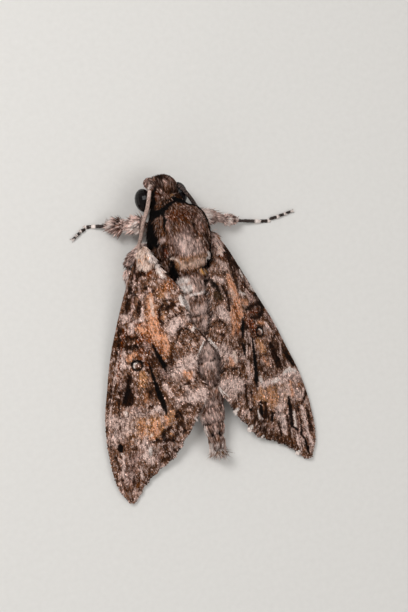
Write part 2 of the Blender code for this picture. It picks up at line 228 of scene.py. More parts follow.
def unit(vectors):
    """Vectors drawn to length 1."""
    return vectors / np.maximum(np.linalg.norm(vectors, axis=-1, keepdims=True), 1e-9)


def curve_at(knots, t):
    """Points of a smooth curve through knots (t, a, b, ...) at each t, with linear ends."""
    knots = np.asarray(knots, float)
    t = np.clip(np.atleast_1d(t), knots[0, 0], knots[-1, 0])
    steps = np.diff(knots[:, 0])[:, None]
    chords = np.diff(knots[:, 1:], axis=0) / steps
    before = np.vstack((chords[:1], chords))
    after = np.vstack((chords, chords[-1:]))
    slopes = (before + after) / 2
    i = np.clip(np.searchsorted(knots[:, 0], t, side="right") - 1, 0, len(knots) - 2)
    u = (t[:, None] - knots[i, :1]) / steps[i]
    start, end = knots[i, 1:], knots[i + 1, 1:]
    bow = steps[i] * u * (1 - u) * (slopes[i] * (1 - u) - slopes[i + 1] * u)
    return start + (end - start) * u * u * (3 - 2 * u) + bow


def by_length(points):
    """Points of a route as knots whose parameter runs from 0 to 1 along its length."""
    points = np.asarray(points, float)
    lengths = np.r_[0.0, np.cumsum(np.linalg.norm(np.diff(points, axis=0), axis=1))]
    return np.column_stack((lengths / lengths[-1], points))


def nearness(points, route, soft):
    """1 inside a stroke whose route is (x, y, half width) points, falling to 0 over soft."""
    route = np.asarray(route, float)
    best = np.full(len(points), 1e9)
    ends = route if len(route) > 1 else np.vstack((route, route))
    for a, b in zip(ends, ends[1:]):
        along = b[:2] - a[:2]
        t = np.clip((points - a[:2]) @ along / max(along @ along, 1e-9), 0.0, 1.0)
        away = np.linalg.norm(points - a[:2] - t[:, None] * along, axis=1)
        best = np.minimum(best, away - (a[2] + (b[2] - a[2]) * t))
    return 1 - smooth(-soft / 2, soft / 2, best)


def strokes(text):
    """Marks as (colour, strength, softness, *route) tuples, from one line of text for each.

    A line reads "colour strength softness: x y half-width, x y half-width, ...", in mm, and an
    indented line carries on the one above it.
    """
    marks = []
    for line in text.replace("\n ", " ").strip().split("\n"):
        look, route = line.split(":")
        name, strength, soft = look.split()
        points = (tuple(map(float, point.split())) for point in route.split(","))
        marks.append((name, float(strength), float(soft), *points))
    return marks


# ---------------------------------------------------------------- colours over many points
SPECK = 0.17            # size of a cluster of scales of one shade, in mm
SPECK_DRAWN = 0.4       # how much shorter than long a cluster is
BRIGHT = (0.5, 0.9)     # brightest channel from which scales lose their differences
PALE_FLECKS = (0.3, 0.9)
DARK_FLECKS = (0.3, 0.8)
TUFT_CONTRAST = 0.46
MIDDLE = 0.13           # the brown that contrast leaves as it is
WHITEST = 0.97
WARMTH = 1.65
WARMTH_SPAN = (0.8, 1.95)
LUMA = np.array((0.3, 0.5, 0.2))


def laid(colours, *layers):
    """Colours with (colour name, share) layers over them in turn, a share for each point or one."""
    for name, share in layers:
        colours = colours + (np.array(hue(name)) - colours) * np.asarray(share)[..., None]
    return colours


def plain(name, count):
    """The named colour, count times."""
    return np.tile(np.array(hue(name)), (count, 1))


def painted(colours, points, marks):
    """Colours with each mark laid over them in turn."""
    return laid(colours, *((name, strength * nearness(points, route, soft))
                           for name, strength, soft, *route in marks))


def speckled(colours, points, rng, pale, dark, cluster=0.3):
    """Each scale's colour with small clusters of scales paler and others darker."""
    drawn = points.copy()
    drawn[:, 1] *= SPECK_DRAWN
    toss = (1 - cluster) * rng.random(len(colours)) + cluster * noise(drawn, SPECK, seed=5)
    bright = colours.max(axis=1)
    light = smooth(0.012, 0.14, bright) * (toss < pale) * rng.uniform(*PALE_FLECKS, len(colours))
    deep = (toss > 1 - dark) * rng.uniform(*DARK_FLECKS, len(colours))
    deep = deep * (1 - 0.85 * smooth(0.4, 0.9, bright))
    colours = laid(colours, ("pinkish", light), ("black", deep))
    shared = 6 * (noise(drawn, SPECK, seed=6) - 0.5)
    own = (1 - cluster) * rng.normal(0.0, 1.0, len(colours)) + cluster * shared
    own *= TUFT_CONTRAST / math.hypot(cluster, 1 - cluster) * (1 - 0.7 * smooth(*BRIGHT, bright))
    return colours * np.exp(own - own.var() / 2)[:, None]


def contrasted(colours, power):
    """Colours with more contrast about a middle brown, dark ones warmer and bright ones greyer."""
    grey = np.maximum(colours @ LUMA, 1e-3)[:, None]
    warmth = np.clip(WARMTH * (MIDDLE / grey) ** 0.33, *WARMTH_SPAN)
    colours = np.maximum(grey + (colours - grey) * warmth, 0.0) * (grey / MIDDLE) ** (power - 1)
    return colours * np.minimum(1.0, WHITEST / np.maximum(colours.max(axis=1), WHITEST))[:, None]


# ---------------------------------------------------------------- wing markings
SIDE_PAINTED_SHADE = {1: 0.88, -1: 0.8}     # painted shade: the right wing, in less light, is darker than the left
# Strokes on the wing's plane, with x measured outwards from the middle line
FOREWING_WASHES = strokes("""
dark .75 1.8: 9 8 .6, 10.6 11 1.1, 12.4 13 1.2
dark .5 1.8: 12.2 15 .8, 14 18.6 1.2, 15.2 22 1.3, 16.8 26.5 1.2
dark .5 2: 12.4 22.4 1.2, 14.4 24.6 1.1
umber .7 2: 14.2 17 1.5, 16.4 23 1.3, 18.4 28 1.1, 19.8 33 1
dark .75 2: 9.8 23.6 .9, 9.6 27 1.2, 12.2 27.4 .9
dark .6 2: 7 26.6 .8, 9.6 30.4 1.1, 11.8 32.8 1.2
dark .75 1.6: 15.6 29.4 .6, 16.8 32.4 1.3, 17.6 34 .9
dark .5 1.8: 18.6 30.4 .8, 19.8 33.2 1
russet .6 2: 10.8 22.6 1, 12 24.8 1.3, 12.6 26.6 .9
pinkish .75 2.4: 4.6 20.4 1.2, 6.2 21.2 .9
pinkish .85 2.4: 2.6 27.2 .9, 4.6 29.6 1.4, 7.2 30 .8
pinkish .95 2.2: 2.4 35.6 1.2, 5 35.4 1.4, 7 35.6 .6
pinkish .6 1.4: 10.6 36.6 .7, 14 36.8 .8, 17 36.8 .8, 20.6 36.8 .8
tan .85 2.4: 9.6 38.8 .8, 12.4 39.6 1.8, 16.2 39.4 1.8
pinkish .8 2.2: 17.2 39 1.3, 20.4 40 1
pinkish .9 1.6: 14.6 42 .9, 14.6 45.4 1.1
lilac .7 2.6: 17 44.8 1.2, 19.6 48.6 1.3
dark .65 1.6: 7.2 38.8 .7, 9.2 42.6 1.1, 11.4 43.2 1, 9.6 45.2 .8
dark .6 1.6: 9.6 45.2 .8, 11.8 47 .7, 14.4 48.4 .8, 16.8 50.8 .9
""")
LEFT_MARKS = strokes("""
dark .55 1.4: 9.8 24.2 .6, 7.4 27 .8, 9.4 30.4 .8
cream .9 .8: 7.2 3.2 1.2, 7.4 6.4 1.4
white .65 .5: 5.9 7.8 .35, 5.8 9.4 .3
dark .9 .6: 8.8 8.9 .7
russet .7 .6: 7.4 8.4 .4, 7.8 9.6 .4
dark .85 .4: 9.6 5.6 .3, 10 9 .35
dark .8 .3: 10.6 9 .2, 11.4 12 .5
lilac .8 .3: 10.2 9 .13, 11.6 14.2 .16, 12.9 18 .2
lilac .7 .3: 9.6 10 .15, 10.2 13.6 .2
black .85 .4: 11.3 12.8 .55
dark .9 .4: 10.4 14.4 .3, 11.2 17 .5
dark .85 .4: 12.2 13.4 .3, 13 16 .4
pinkish .8 .4: 13.4 16.6 .4, 14.2 18 .2
pinkish .8 .3: 10.2 15.6 .15, 10.8 18 .3
lilac .8 .5: 8 12.6 .25, 9 12.9 .3
dark .8 .3: 8.4 11.9 .3, 9.2 12.1 .3
dark .8 .3: 7.7 12.8 .2, 8.3 13.6 .25
orange .7 .4: 6.8 12.7 .2, 6.7 13.4 .2
tan .6 1.2: 5 12.4 .8, 6.6 14.2 .6
orange .45 1.6: 8.6 16 .9, 9.8 20.4 1.9, 8.4 25 1.3
russet .65 1.2: 8.6 18.6 .9, 9.6 21.4 1.9, 8.4 24.6 1.1
russet .5 1.2: 11.6 18.8 .8, 13.4 20.2 .7
russet .5 1.2: 4 11.8 .8, 5.6 13 .8
orange .98 .5: 8.6 13.8 .5, 8.8 17.4 .75, 9 19.4 .9
orange .85 1: 9.2 19.8 .8, 8.9 22.4 1
cream .55 .5: 8.5 14.4 .25, 8.7 17.6 .3
orange .9 .7: 11.8 19.6 .5, 10.4 20.8 .7
russet .75 .3: 10.2 18.8 .12, 10.4 22 .25
orange .85 .7: 8 22.4 .7, 7.8 25.6 .5
russet .6 .3: 8.3 19.2 .1, 8.3 24 .16
orange .7 .6: 9.6 22.2 .5, 9.2 23.6 .4
pinkish .9 .4: 10.7 18.1 .3, 12 18.1 .35
pinkish .8 .6: 12.8 18.9 .5, 13.2 20 .5
dark .92 .5: 4.9 16.4 .55, 6.2 17 .5
pinkish .8 .4: 3.6 16.4 .3, 4.6 17.5 .25
dark .92 .3: 6.6 16 .22, 7.6 17 .3, 7.9 18.6 .28, 7.5 19.9 .4
tan .7 .4: 7 17.6 .2, 7.1 18.9 .25
dark .88 .35: 3.5 18.2 .25, 4.7 18.7 .3, 6 18.8 .28
dark .8 .25: 3.9 15.2 .12, 5 15.5 .16, 6.4 15.4 .12
pinkish .8 1: 5.2 20.4 1, 6.2 21.6 .7
dark .9 .5: 12.6 21.4 .4, 14.2 20.8 .45
dark .9 .5: 12.6 23.2 .4, 14.6 22.8 .55
russet .8 .5: 11.4 21 .4, 12.6 22.3 .35
lilac .85 .4: 11.3 22.6 .35, 11.3 24.2 .3
orange .8 .6: 13.6 24.4 .5, 14.8 25.2 .45
pinkish .8 .6: 15.4 24 .3, 16.2 26.4 .45
russet .8 .3: 14.2 19 .2, 16.4 25 .16, 17.4 28 .14
dark .8 .4: 14.8 18.4 .35, 15.8 22 .35, 16.9 25.6 .2
pinkish .7 .25: 15.9 23 .1, 17.4 27 .16, 19 31 .12, 20.2 35 .12
tan .95 .7: 12.9 28.8 .7, 13.4 30.6 .7
dark .85 .4: 12.3 32.5 .35, 12.6 33.6 .3
orange .6 .5: 13.2 32.8 .35, 13.3 34.2 .3
dark .8 .3: 12.2 35.4 .3, 13 35.5 .3
dark .96 .6: 15.3 28.6 .45, 16 30.6 .65, 16.4 33.4 1.1
black .7 .5: 16.2 31.4 .35, 17.2 33.2 .45
dark .85 .4: 17.6 31.8 .3
lilac .7 .4: 14.7 31 .25, 14.8 32.4 .2
lilac .8 .5: 17 29 .25, 17.6 31 .2
dark .8 .3: 18.2 33 .2, 18.6 35.2 .2
dark .7 .3: 19 30.6 .2, 19.8 33.4 .2
black .97 .25: 10.15 23.1 .14, 9.6 25.3 .36, 8.95 27.6 .41, 8.7 28.9 .19
black .97 .25: 11.4 26.8 .14, 11.2 29.6 .27, 10.8 32.4 .43, 10.4 34.6 .54, 10.1 36.6 .43,
  9.9 37.4 .14
umber .8 .8: 6.4 24.2 .5, 7.2 26.6 .6
dark .7 .4: 7 25.8 .2, 7.5 27.4 .25
lilac .7 .5: 9.8 28.4 .3, 8.6 30.2 .3
pinkish .6 .6: 9.4 31.6 .4, 8.6 34 .5
dark .9 .35: 3.3 21.9 .25, 4.3 21.6 .32, 5.2 22.4 .32, 5.7 23.6 .2
dark .88 .4: 2.7 23.9 .42
dark .88 .4: 4.6 24.5 .42
umber .8 .4: 3.9 23.2 .5
dark .7 .3: 5.4 25.3 .22
white .6 .4: 2.2 22 .4
white .85 .4: 3.3 15.3 .4, 3 16.8 .4
pinkish .9 .5: 2.6 18.2 .4, 2.6 19.8 .4
pinkish .8 1: 3 28.8 .8, 6 29 .7
orange .9 .6: 4.4 30.8 .75, 5.2 30.4 .6
dark .85 .35: 3.3 32.2 .35
dark .85 .35: 4.7 32.5 .35, 5.8 32.4 .25
dark .85 .35: 6.4 32.9 .32
pinkish .85 1.2: 2.6 34.6 .8, 4.4 35.6 1
pinkish .95 .5: 10.6 36.9 .3, 11.6 36 .5
white .4 .5: 17.4 35.7 .4
dark .75 .2: 13.8 36.4 .1, 15 36.1 .14, 16 36.5 .1, 17.4 36.2 .12, 19 36.6 .1
lilac .7 .4: 14.4 35.4 .2, 16.6 35.2 .25
tan .85 .6: 8.8 37.6 .5, 9.8 39.4 .6
orange .9 .4: 10.1 38 .3, 10.2 39.7 .3
orange .92 .6: 12.2 38.9 .5, 12.6 40.6 .9, 13.4 41.4 .6
cream .85 .4: 13.4 41.2 .3
orange .6 .8: 14.8 38.8 .5, 15 40.8 .5
dark .93 .4: 7.5 37.8 .6, 7.9 38.7 .45
dark .9 .4: 7.2 39.9 .4, 6.7 41.7 .4
dark .7 .3: 4.4 37.2 .2, 5.6 36.4 .2
dark .6 .25: 6 38 .12, 5.9 40.6 .16
dark .95 .35: 9.4 40.4 .4, 10.2 40.7 .25
black .9 .4: 10.9 40.9 .42, 10.9 42.3 .5
dark .92 .4: 9.1 43.3 .4, 10.7 43 .45
dark .9 .35: 12.2 42.5 .3, 13.3 42.6 .32
tan .7 .4: 9.3 41.9 .4
dark .8 .4: 8.1 43.7 .28
pinkish .8 .3: 8.4 44.5 .15, 9.7 44.7 .15
dark .8 .4: 9.3 45.4 .3, 7.6 45 .2
lilac .8 .5: 11.8 44.6 .3, 12.8 46.2 .5
white .75 .35: 14 43.8 .3, 14 45 .35
dark .7 .4: 13 44.6 .25
dark .7 .4: 16.9 43.1 .4
dark .7 .4: 15.6 42.2 .3
lilac .8 .7: 16.6 44.8 .6, 17.6 45.6 .5
pinkish .8 .4: 16.4 47.6 .25, 16.6 49.4 .25
umber .7 .5: 17.4 48.6 .3, 17.6 50.6 .4
black .97 .3: 19.7 42 .57, 19.7 42.5 .57
white .5 .3: 19.6 43.6 .25
pinkish .75 .5: 19.6 44.6 .4, 20.2 47.8 .4
dark .85 .35: 20.9 44.2 .25, 20.7 46.6 .3
dark .8 .3: 18.3 48.6 .16, 18.5 50 .2, 19.1 51.4 .12
dark .7 .3: 20.6 48.8 .3, 20.3 51.2 .16
dark .8 .3: 21.6 41.6 .3
dark .6 .2: 19 37.2 .1, 19.1 41 .1
dark .6 .2: 16.2 36.9 .1, 16.7 41 .1
dark .5 .2: 18.2 45.8 .1, 18.4 47.4 .14
pinkish .7 .4: 19.6 37.8 .3, 20.4 40 .3
""")
RIGHT_MARKS = strokes("""
dark .5 1.4: 6.6 29.4 .8, 7.2 31.4 .7
dark .45 1.4: 7.2 35.6 .7, 9.4 36.6 .7
dark .45 1.4: 11.8 33 .8, 14.6 33.2 .8
dark .5 1.2: 9.6 24 .7
dark .6 1.6: 9.4 8.6 1, 11.6 12.4 1.3
dark .5 1.2: 4.4 16.6 .9, 4.6 18.2 .6
dark .6 1.4: 12.6 21.4 1, 14.8 21 1.1
dark .65 1.4: 9.6 23.6 .6, 11.8 24.6 .8
dark .6 1.4: 11.6 30.4 .6, 17.2 29.6 1.2, 18.8 30.4 .8
dark .6 1.2: 9.6 44.8 .8, 12.2 47.2 .7
black .9 .5: 3.2 12.6 .5, 4.2 14.2 .7, 5.2 15.6 .5
dark .7 .8: 4 16.4 .6, 6 17.4 .4
pinkish .9 .7: 7.5 3.4 1, 7.4 5.6 1
cream .9 .5: 7.3 6.7 .6
dark .85 .8: 8.8 6.2 .5, 9.8 8.2 .6
russet .7 .6: 7.2 8.4 .4, 8.6 8.8 .5
pinkish .7 .6: 8.1 10.7 .45, 6.8 9.8 .4
dark .8 .5: 11.3 11.2 .5, 10.4 10.4 .3
white .5 .35: 12.3 12.4 .2, 12.5 13.9 .3
dark .9 .35: 12.8 14.6 .22, 12.4 16.2 .3
dark .8 .5: 10 13 .4, 10.4 15.6 .5
lilac .6 .4: 11.2 12.6 .2, 11.4 14.8 .25
white .55 .4: 10.6 17 .3, 11.9 17.5 .35
white .6 .5: 14.2 16.4 .5, 14.8 17.2 .3
lilac .9 .6: 12.8 19.4 .5, 13.6 18.2 .5
black .8 .6: 15 18.2 .6, 15.8 20.4 .8
pinkish .85 .8: 5 13.2 .6, 6.8 13.9 .5
dark .7 .4: 7.8 12.6 .5
orange .97 .5: 8.5 13.4 .6, 8.9 15.4 .8, 9.2 18.4 .8, 9 21.2 .9
russet .5 1.2: 8.2 20.6 1.2, 7.2 24.4 .9
orange .5 1: 8.6 21 .8, 7.6 23.6 .5
cream .4 .6: 8.3 15.8 .35, 8.8 17.4 .35
russet .8 .3: 8.6 18.4 .15, 8.3 22 .2
orange .8 .6: 10.8 18.8 .5, 11.8 19.4 .4
orange .75 .7: 7.4 19.8 .5, 7 22.4 .6, 6.2 24.8 .3
dark .92 .35: 6.3 15.2 .25, 6.9 16.6 .4, 6.9 18.6 .3, 6.7 19.8 .35
olive .8 .8: 4.2 16.4 .8, 5.4 17 .7
pinkish .8 .9: 4.8 19.4 .8, 5.4 21.2 .6
dark .96 .35: 11 20.7 .3, 13 20.2 .4, 14.8 19.9 .5
dark .96 .4: 11.8 22.5 .35, 14 22.6 .45, 15.4 21.8 .5
russet .85 .4: 11.4 21.5 .3, 14 21.3 .3
russet .9 .8: 10.8 23 .7, 12 24.8 .8
dark .6 .3: 11.2 22.8 .15, 11.3 26 .2
orange .7 .5: 13.6 23.7 .4, 15 24.2 .35
pinkish .9 .5: 15.5 24.2 .35, 16.2 25.8 .4
lilac .7 .6: 16.6 22.6 .4, 17.8 26 .4
tan .95 .7: 12.4 27.4 .7, 13 29.4 .8
black .96 .3: 9.6 22.3 .19, 9 24.1 .51, 8.5 25.8 .3
black .93 .3: 8.25 27.4 .38, 8.2 29.5 .27
pinkish .8 .25: 9.6 26.2 .15, 8.5 29.6 .14
black .97 .25: 10.9 26.2 .14, 10.7 29 .32, 10.4 32 .45, 10.05 34.8 .57, 10 36.2 .16
dark .96 .6: 15.4 28.4 .45, 15.8 31 .8, 16.4 33 .9
dark .9 .4: 17.4 26.8 .3, 16.4 27.8 .3
pinkish .75 .4: 18.1 28.9 .3, 17.6 31 .25
dark .94 .6: 18.6 31 .4, 19.6 32.6 .7, 20.4 34 .4
black .5 .4: 19.4 31.2 .35, 20 33.6 .35
orange .5 .6: 12.6 31.2 .5, 13.8 32.8 .4
dark .9 .35: 12.2 34 .35, 13 34.3 .3
dark .7 .3: 14.6 31.6 .15, 14.7 34 .2
white .7 .4: 11 34.8 .35, 11.3 36 .4
pinkish .95 .6: 10.8 36.4 .5, 13.8 36.2 .5, 17.4 35.4 .6, 20.2 35.2 .6, 21.2 36.6 .3
white .7 .4: 13.8 36.3 .2, 15.6 36.1 .25
white .8 .4: 17.2 35.2 .25, 19.2 34.8 .35, 20.4 35.3 .25
lilac .7 .3: 16.2 35.6 .2, 18 35.9 .2
pinkish .8 .4: 15.6 37 .3, 17.4 36.4 .35, 19 36.2 .4
dark .8 .25: 14.8 35.6 .2, 15.4 35.4 .2
dark .9 .35: 2.7 21.7 .22, 3.7 21.4 .32, 4.6 22.3 .28, 5 23.3 .2
dark .88 .4: 3.5 24.2 .42, 4.2 24.9 .25
white .9 .3: 1.4 21.6 .35
dark .85 .3: .9 22.3 .2, 1.8 22.5 .2
dark .7 .3: 6.2 23.6 .3
orange .85 .5: 4.6 29.4 .3, 4.8 30.6 .6
cream .7 .4: 5.7 28.6 .3, 5.8 30.4 .25
dark .9 .35: 3 31.5 .35
dark .9 .35: 4.8 31.8 .3, 5.6 31.7 .3
dark .8 .3: 6.4 32.6 .2, 6.4 34 .2
pinkish .85 1: 2.4 34.4 .6, 4.6 34.8 .9
umber .7 1: 7.2 31 .5, 7.4 34.2 .5
pinkish .7 .5: 8.6 31 .3, 8.4 35 .4
dark .95 .3: 7.4 35.3 .25, 7.1 37.6 .4, 7.2 38.8 .2
dark .9 .3: 8.4 37.2 .25, 8.4 38.8 .2
black .9 .3: 7.8 40.8 .35
pinkish .8 .2: 7.6 39.2 .12, 8 40.3 .12
dark .85 .4: 5.4 36.8 .25, 5.2 38 .3
tan .9 .6: 10.8 37 .5, 11 39 .5
tan .9 .8: 13.2 38 .7, 13.6 40.6 .9
orange .6 .5: 12.4 38.2 .4, 13.2 40.6 .4
pinkish .7 .7: 15.4 38.4 .6, 15.8 41.6 .6
orange .7 .5: 18.4 37.4 .35, 18.4 40 .5
orange .5 .5: 20.4 38.4 .4
dark .93 .25: 9.7 40.6 .14, 10 39.7 .18, 11.4 40.1 .3, 11.4 42.6 .42, 10.2 44.1 .3
white .8 .2: 9.6 41.2 .12, 9.7 42.6 .14, 10.5 43.3 .14
black .92 .25: 10.3 40.6 .38, 10.4 42.2 .38
black .9 .3: 12.9 42.7 .25, 12.6 44 .35
orange .6 .3: 13.2 42.1 .3
dark .85 .25: 13.4 41.8 .14, 14.2 42.3 .14, 14.2 43.2 .12
lilac .85 .3: 12.6 45.4 .35
pinkish .7 .4: 15.4 44 .4, 15.3 47.6 .25
dark .6 .3: 13.8 44.6 .15, 14.4 47.6 .2
black .93 .3: 17.2 40.2 .34, 17.2 43.4 .51, 17.1 46.2 .41, 18 47.3 .3
cream .85 .25: 17.9 44.2 .16, 17.9 46.4 .22
dark .8 .25: 18.4 43.2 .18, 18.5 45.2 .18
dark .9 .3: 19.1 42.4 .22, 19.2 46 .22
pinkish .95 .35: 20 42.8 .38, 20.3 47.8 .4
pinkish .9 .3: 15.3 43.6 .35, 15.2 47.4 .3
dark .85 .3: 14 44.6 .25, 14.4 47.6 .3
dark .85 .3: 16.2 44 .25, 16.3 49.4 .3
white .6 .3: 17.9 43.6 .16, 17.9 46.6 .2
dark .95 .35: 22 40 .3, 20.9 41.4 .38, 20.2 42.1 .2
dark .9 .4: 21.2 43.8 .4, 21.2 48 .42
black .92 .22: 19.2 46.4 .14, 18.8 48.5 .3, 19.4 49.6 .27, 19.6 52.4 .27
pinkish .95 .35: 20.3 48.6 .35, 20.7 51.2 .4
pinkish .85 .35: 17.7 48.4 .25, 18 51.4 .3
umber .7 .5: 16 48 .4, 16.6 50.6 .4
dark .8 .25: 18.9 41 .1, 19.4 43 .1
""")
RINGS = {1: (13.55, 26.85), -1: (13.2, 25.75)}
RING_RADIUS = 0.9
# White flecks and lines of the fringes, as (x outwards, y, half width)
FRINGE_FLECKS = {
    1: ((6.2, 43.3, 0.5), (4.2, 39.8, 0.35), (9.8, 47.0, 0.2)),
    -1: ((4.8, 40.0, 0.4), (7.8, 44.4, 0.45), (10.2, 47.0, 0.35), (12.9, 48.7, 0.35),
         (15.5, 50.5, 0.35), (17.5, 51.9, 0.3)),
}
MIDLINE_FRINGES = {
    1: (((0.5, 24.7, 0.12), (1.6, 26.3, 0.14), (2.4, 27.7, 0.12), (2.75, 29.5, 0.1)),
        ((1.9, 36.3, 0.14), (2.3, 37.0, 0.16))),
    -1: (((0.5, 24.5, 0.13), (1.6, 26.2, 0.15), (2.4, 27.8, 0.1)),
         ((1.0, 34.1, 0.14), (1.5, 35.3, 0.14), (3.1, 37.0, 0.08))),
}


def out_and_along(points):
    """Points of either wing as (x outwards, y)."""
    return np.column_stack((np.abs(points[:, 0]), points[:, 1]))


def costa_x(y):
    """How far out the forewing's front edge is at each y."""
    return curve_at([(p[1], p[0]) for p in FOREWING[0]], y)[:, 0]


def wing_lie(flat):
    """Sideways slope of the wing's scales, fanning out from its root."""
    share = np.clip((flat[:, 0] / costa_x(flat[:, 1]) - 0.45) / 0.55, 0.0, 1.0)
    return -0.2 + 0.5 * share ** 1.5


def ring_colours(colours, flat, middle):
    """The small eye-like ring at the end of the cell: dark rim, pale crescent, brown middle."""
    away = flat - np.array(middle)
    radius = np.linalg.norm(away, axis=1)
    outward = away @ unit(np.array((0.75, -0.65))) / np.maximum(radius, 1e-6)
    rim = 1 - smooth(0.14, 0.32, np.abs(radius - RING_RADIUS))
    heavy = 1 - smooth(0.1, 0.3, np.abs(radius - RING_RADIUS - 0.15))
    crescent = smooth(0.1, 0.6, outward) * (1 - smooth(0.06, 0.22, np.abs(radius - 0.6)))
    return laid(
        colours,
        ("umber", 0.85 * (1 - smooth(0.7, 0.95, radius))),
        ("lilac", 0.5 * (1 - smooth(0.2, 0.5, radius))),
        ("black", 0.92 * rim),
        ("white", 0.85 * crescent),
        ("black", 0.9 * heavy * smooth(0.1, 0.5, -away[:, 1])),
    )


WAVY = 1.2              # how far noise moves the edges of washes and of marks, in mm
RAGGED = 0.26
WING_CONTRAST = 1.3
STREAK, BROAD_STREAK, FINE_STREAK = (0.36, 0.7), (0.9, 1.0), (0.17, 0.5)    # (width, length)
VEIN_DARK = (36.0, 39.0)


def forewing_colours(points, side, seed):
    """Colours of the forewing's upper scales at points in mm."""
    flat = out_and_along(points)
    lie = unit(np.column_stack((wing_lie(flat), np.ones(len(flat)))))
    colours = plain("ground", len(flat))
    washed = flat + WAVY * wobble(flat, (1.1, 1.3), 1.6, seed + 2)
    colours = painted(colours, washed, FOREWING_WASHES)
    tone = streaks(flat, lie, *STREAK, seed) + 0.7 * streaks(flat, lie, *BROAD_STREAK, seed + 1)
    colours = laid(colours, ("pinkish", 0.5 * smooth(0.2, 1.3, tone)),
                   ("dark", 0.45 * smooth(0.2, 1.3, -tone)))
    marked = flat + RAGGED * wobble(flat, (0.3, 0.4), 2.2, seed + 5)
    colours = painted(colours, marked, LEFT_MARKS if side > 0 else RIGHT_MARKS)
    colours = ring_colours(colours, flat, RINGS[side])
    for vein in VEINS:
        near = nearness(flat, [(*p, 0.04) for p in vein], 0.16)
        colours = laid(colours, ("dark", 0.5 * near * smooth(*VEIN_DARK, flat[:, 1])))
    pale = MIDLINE_FRINGES[side] + tuple((fleck,) for fleck in FRINGE_FLECKS[side])
    colours = painted(colours, flat, [("white", 0.97, 0.15, *route) for route in pale])
    fine = streaks(flat, lie, *FINE_STREAK, seed + 4)
    # the side's value is painted shade, darker on the right wing than on the left
    return SIDE_PAINTED_SHADE[side] * contrasted(colours * (1 + 0.45 * fine)[:, None], WING_CONTRAST)


def hindwing_colours(points, side, seed):
    """Colours of the hindwing, the same on both sides: grey-brown with dark zigzag bands."""
    flat = out_and_along(points)
    zigzag = flat[:, 1] + 0.8 * np.abs((flat[:, 0] * 0.9) % 2 - 1)
    band = smooth(0.1, 0.7, np.sin(zigzag * 1.25))
    fine = streaks(flat, np.tile((0.1, 0.99), (len(flat), 1)), 0.25, 2.0, seed)
    return laid(plain("umber", len(flat)), ("lilac", 0.5 * band),
                ("dark", 0.6 * smooth(0, 0.8, -fine)))
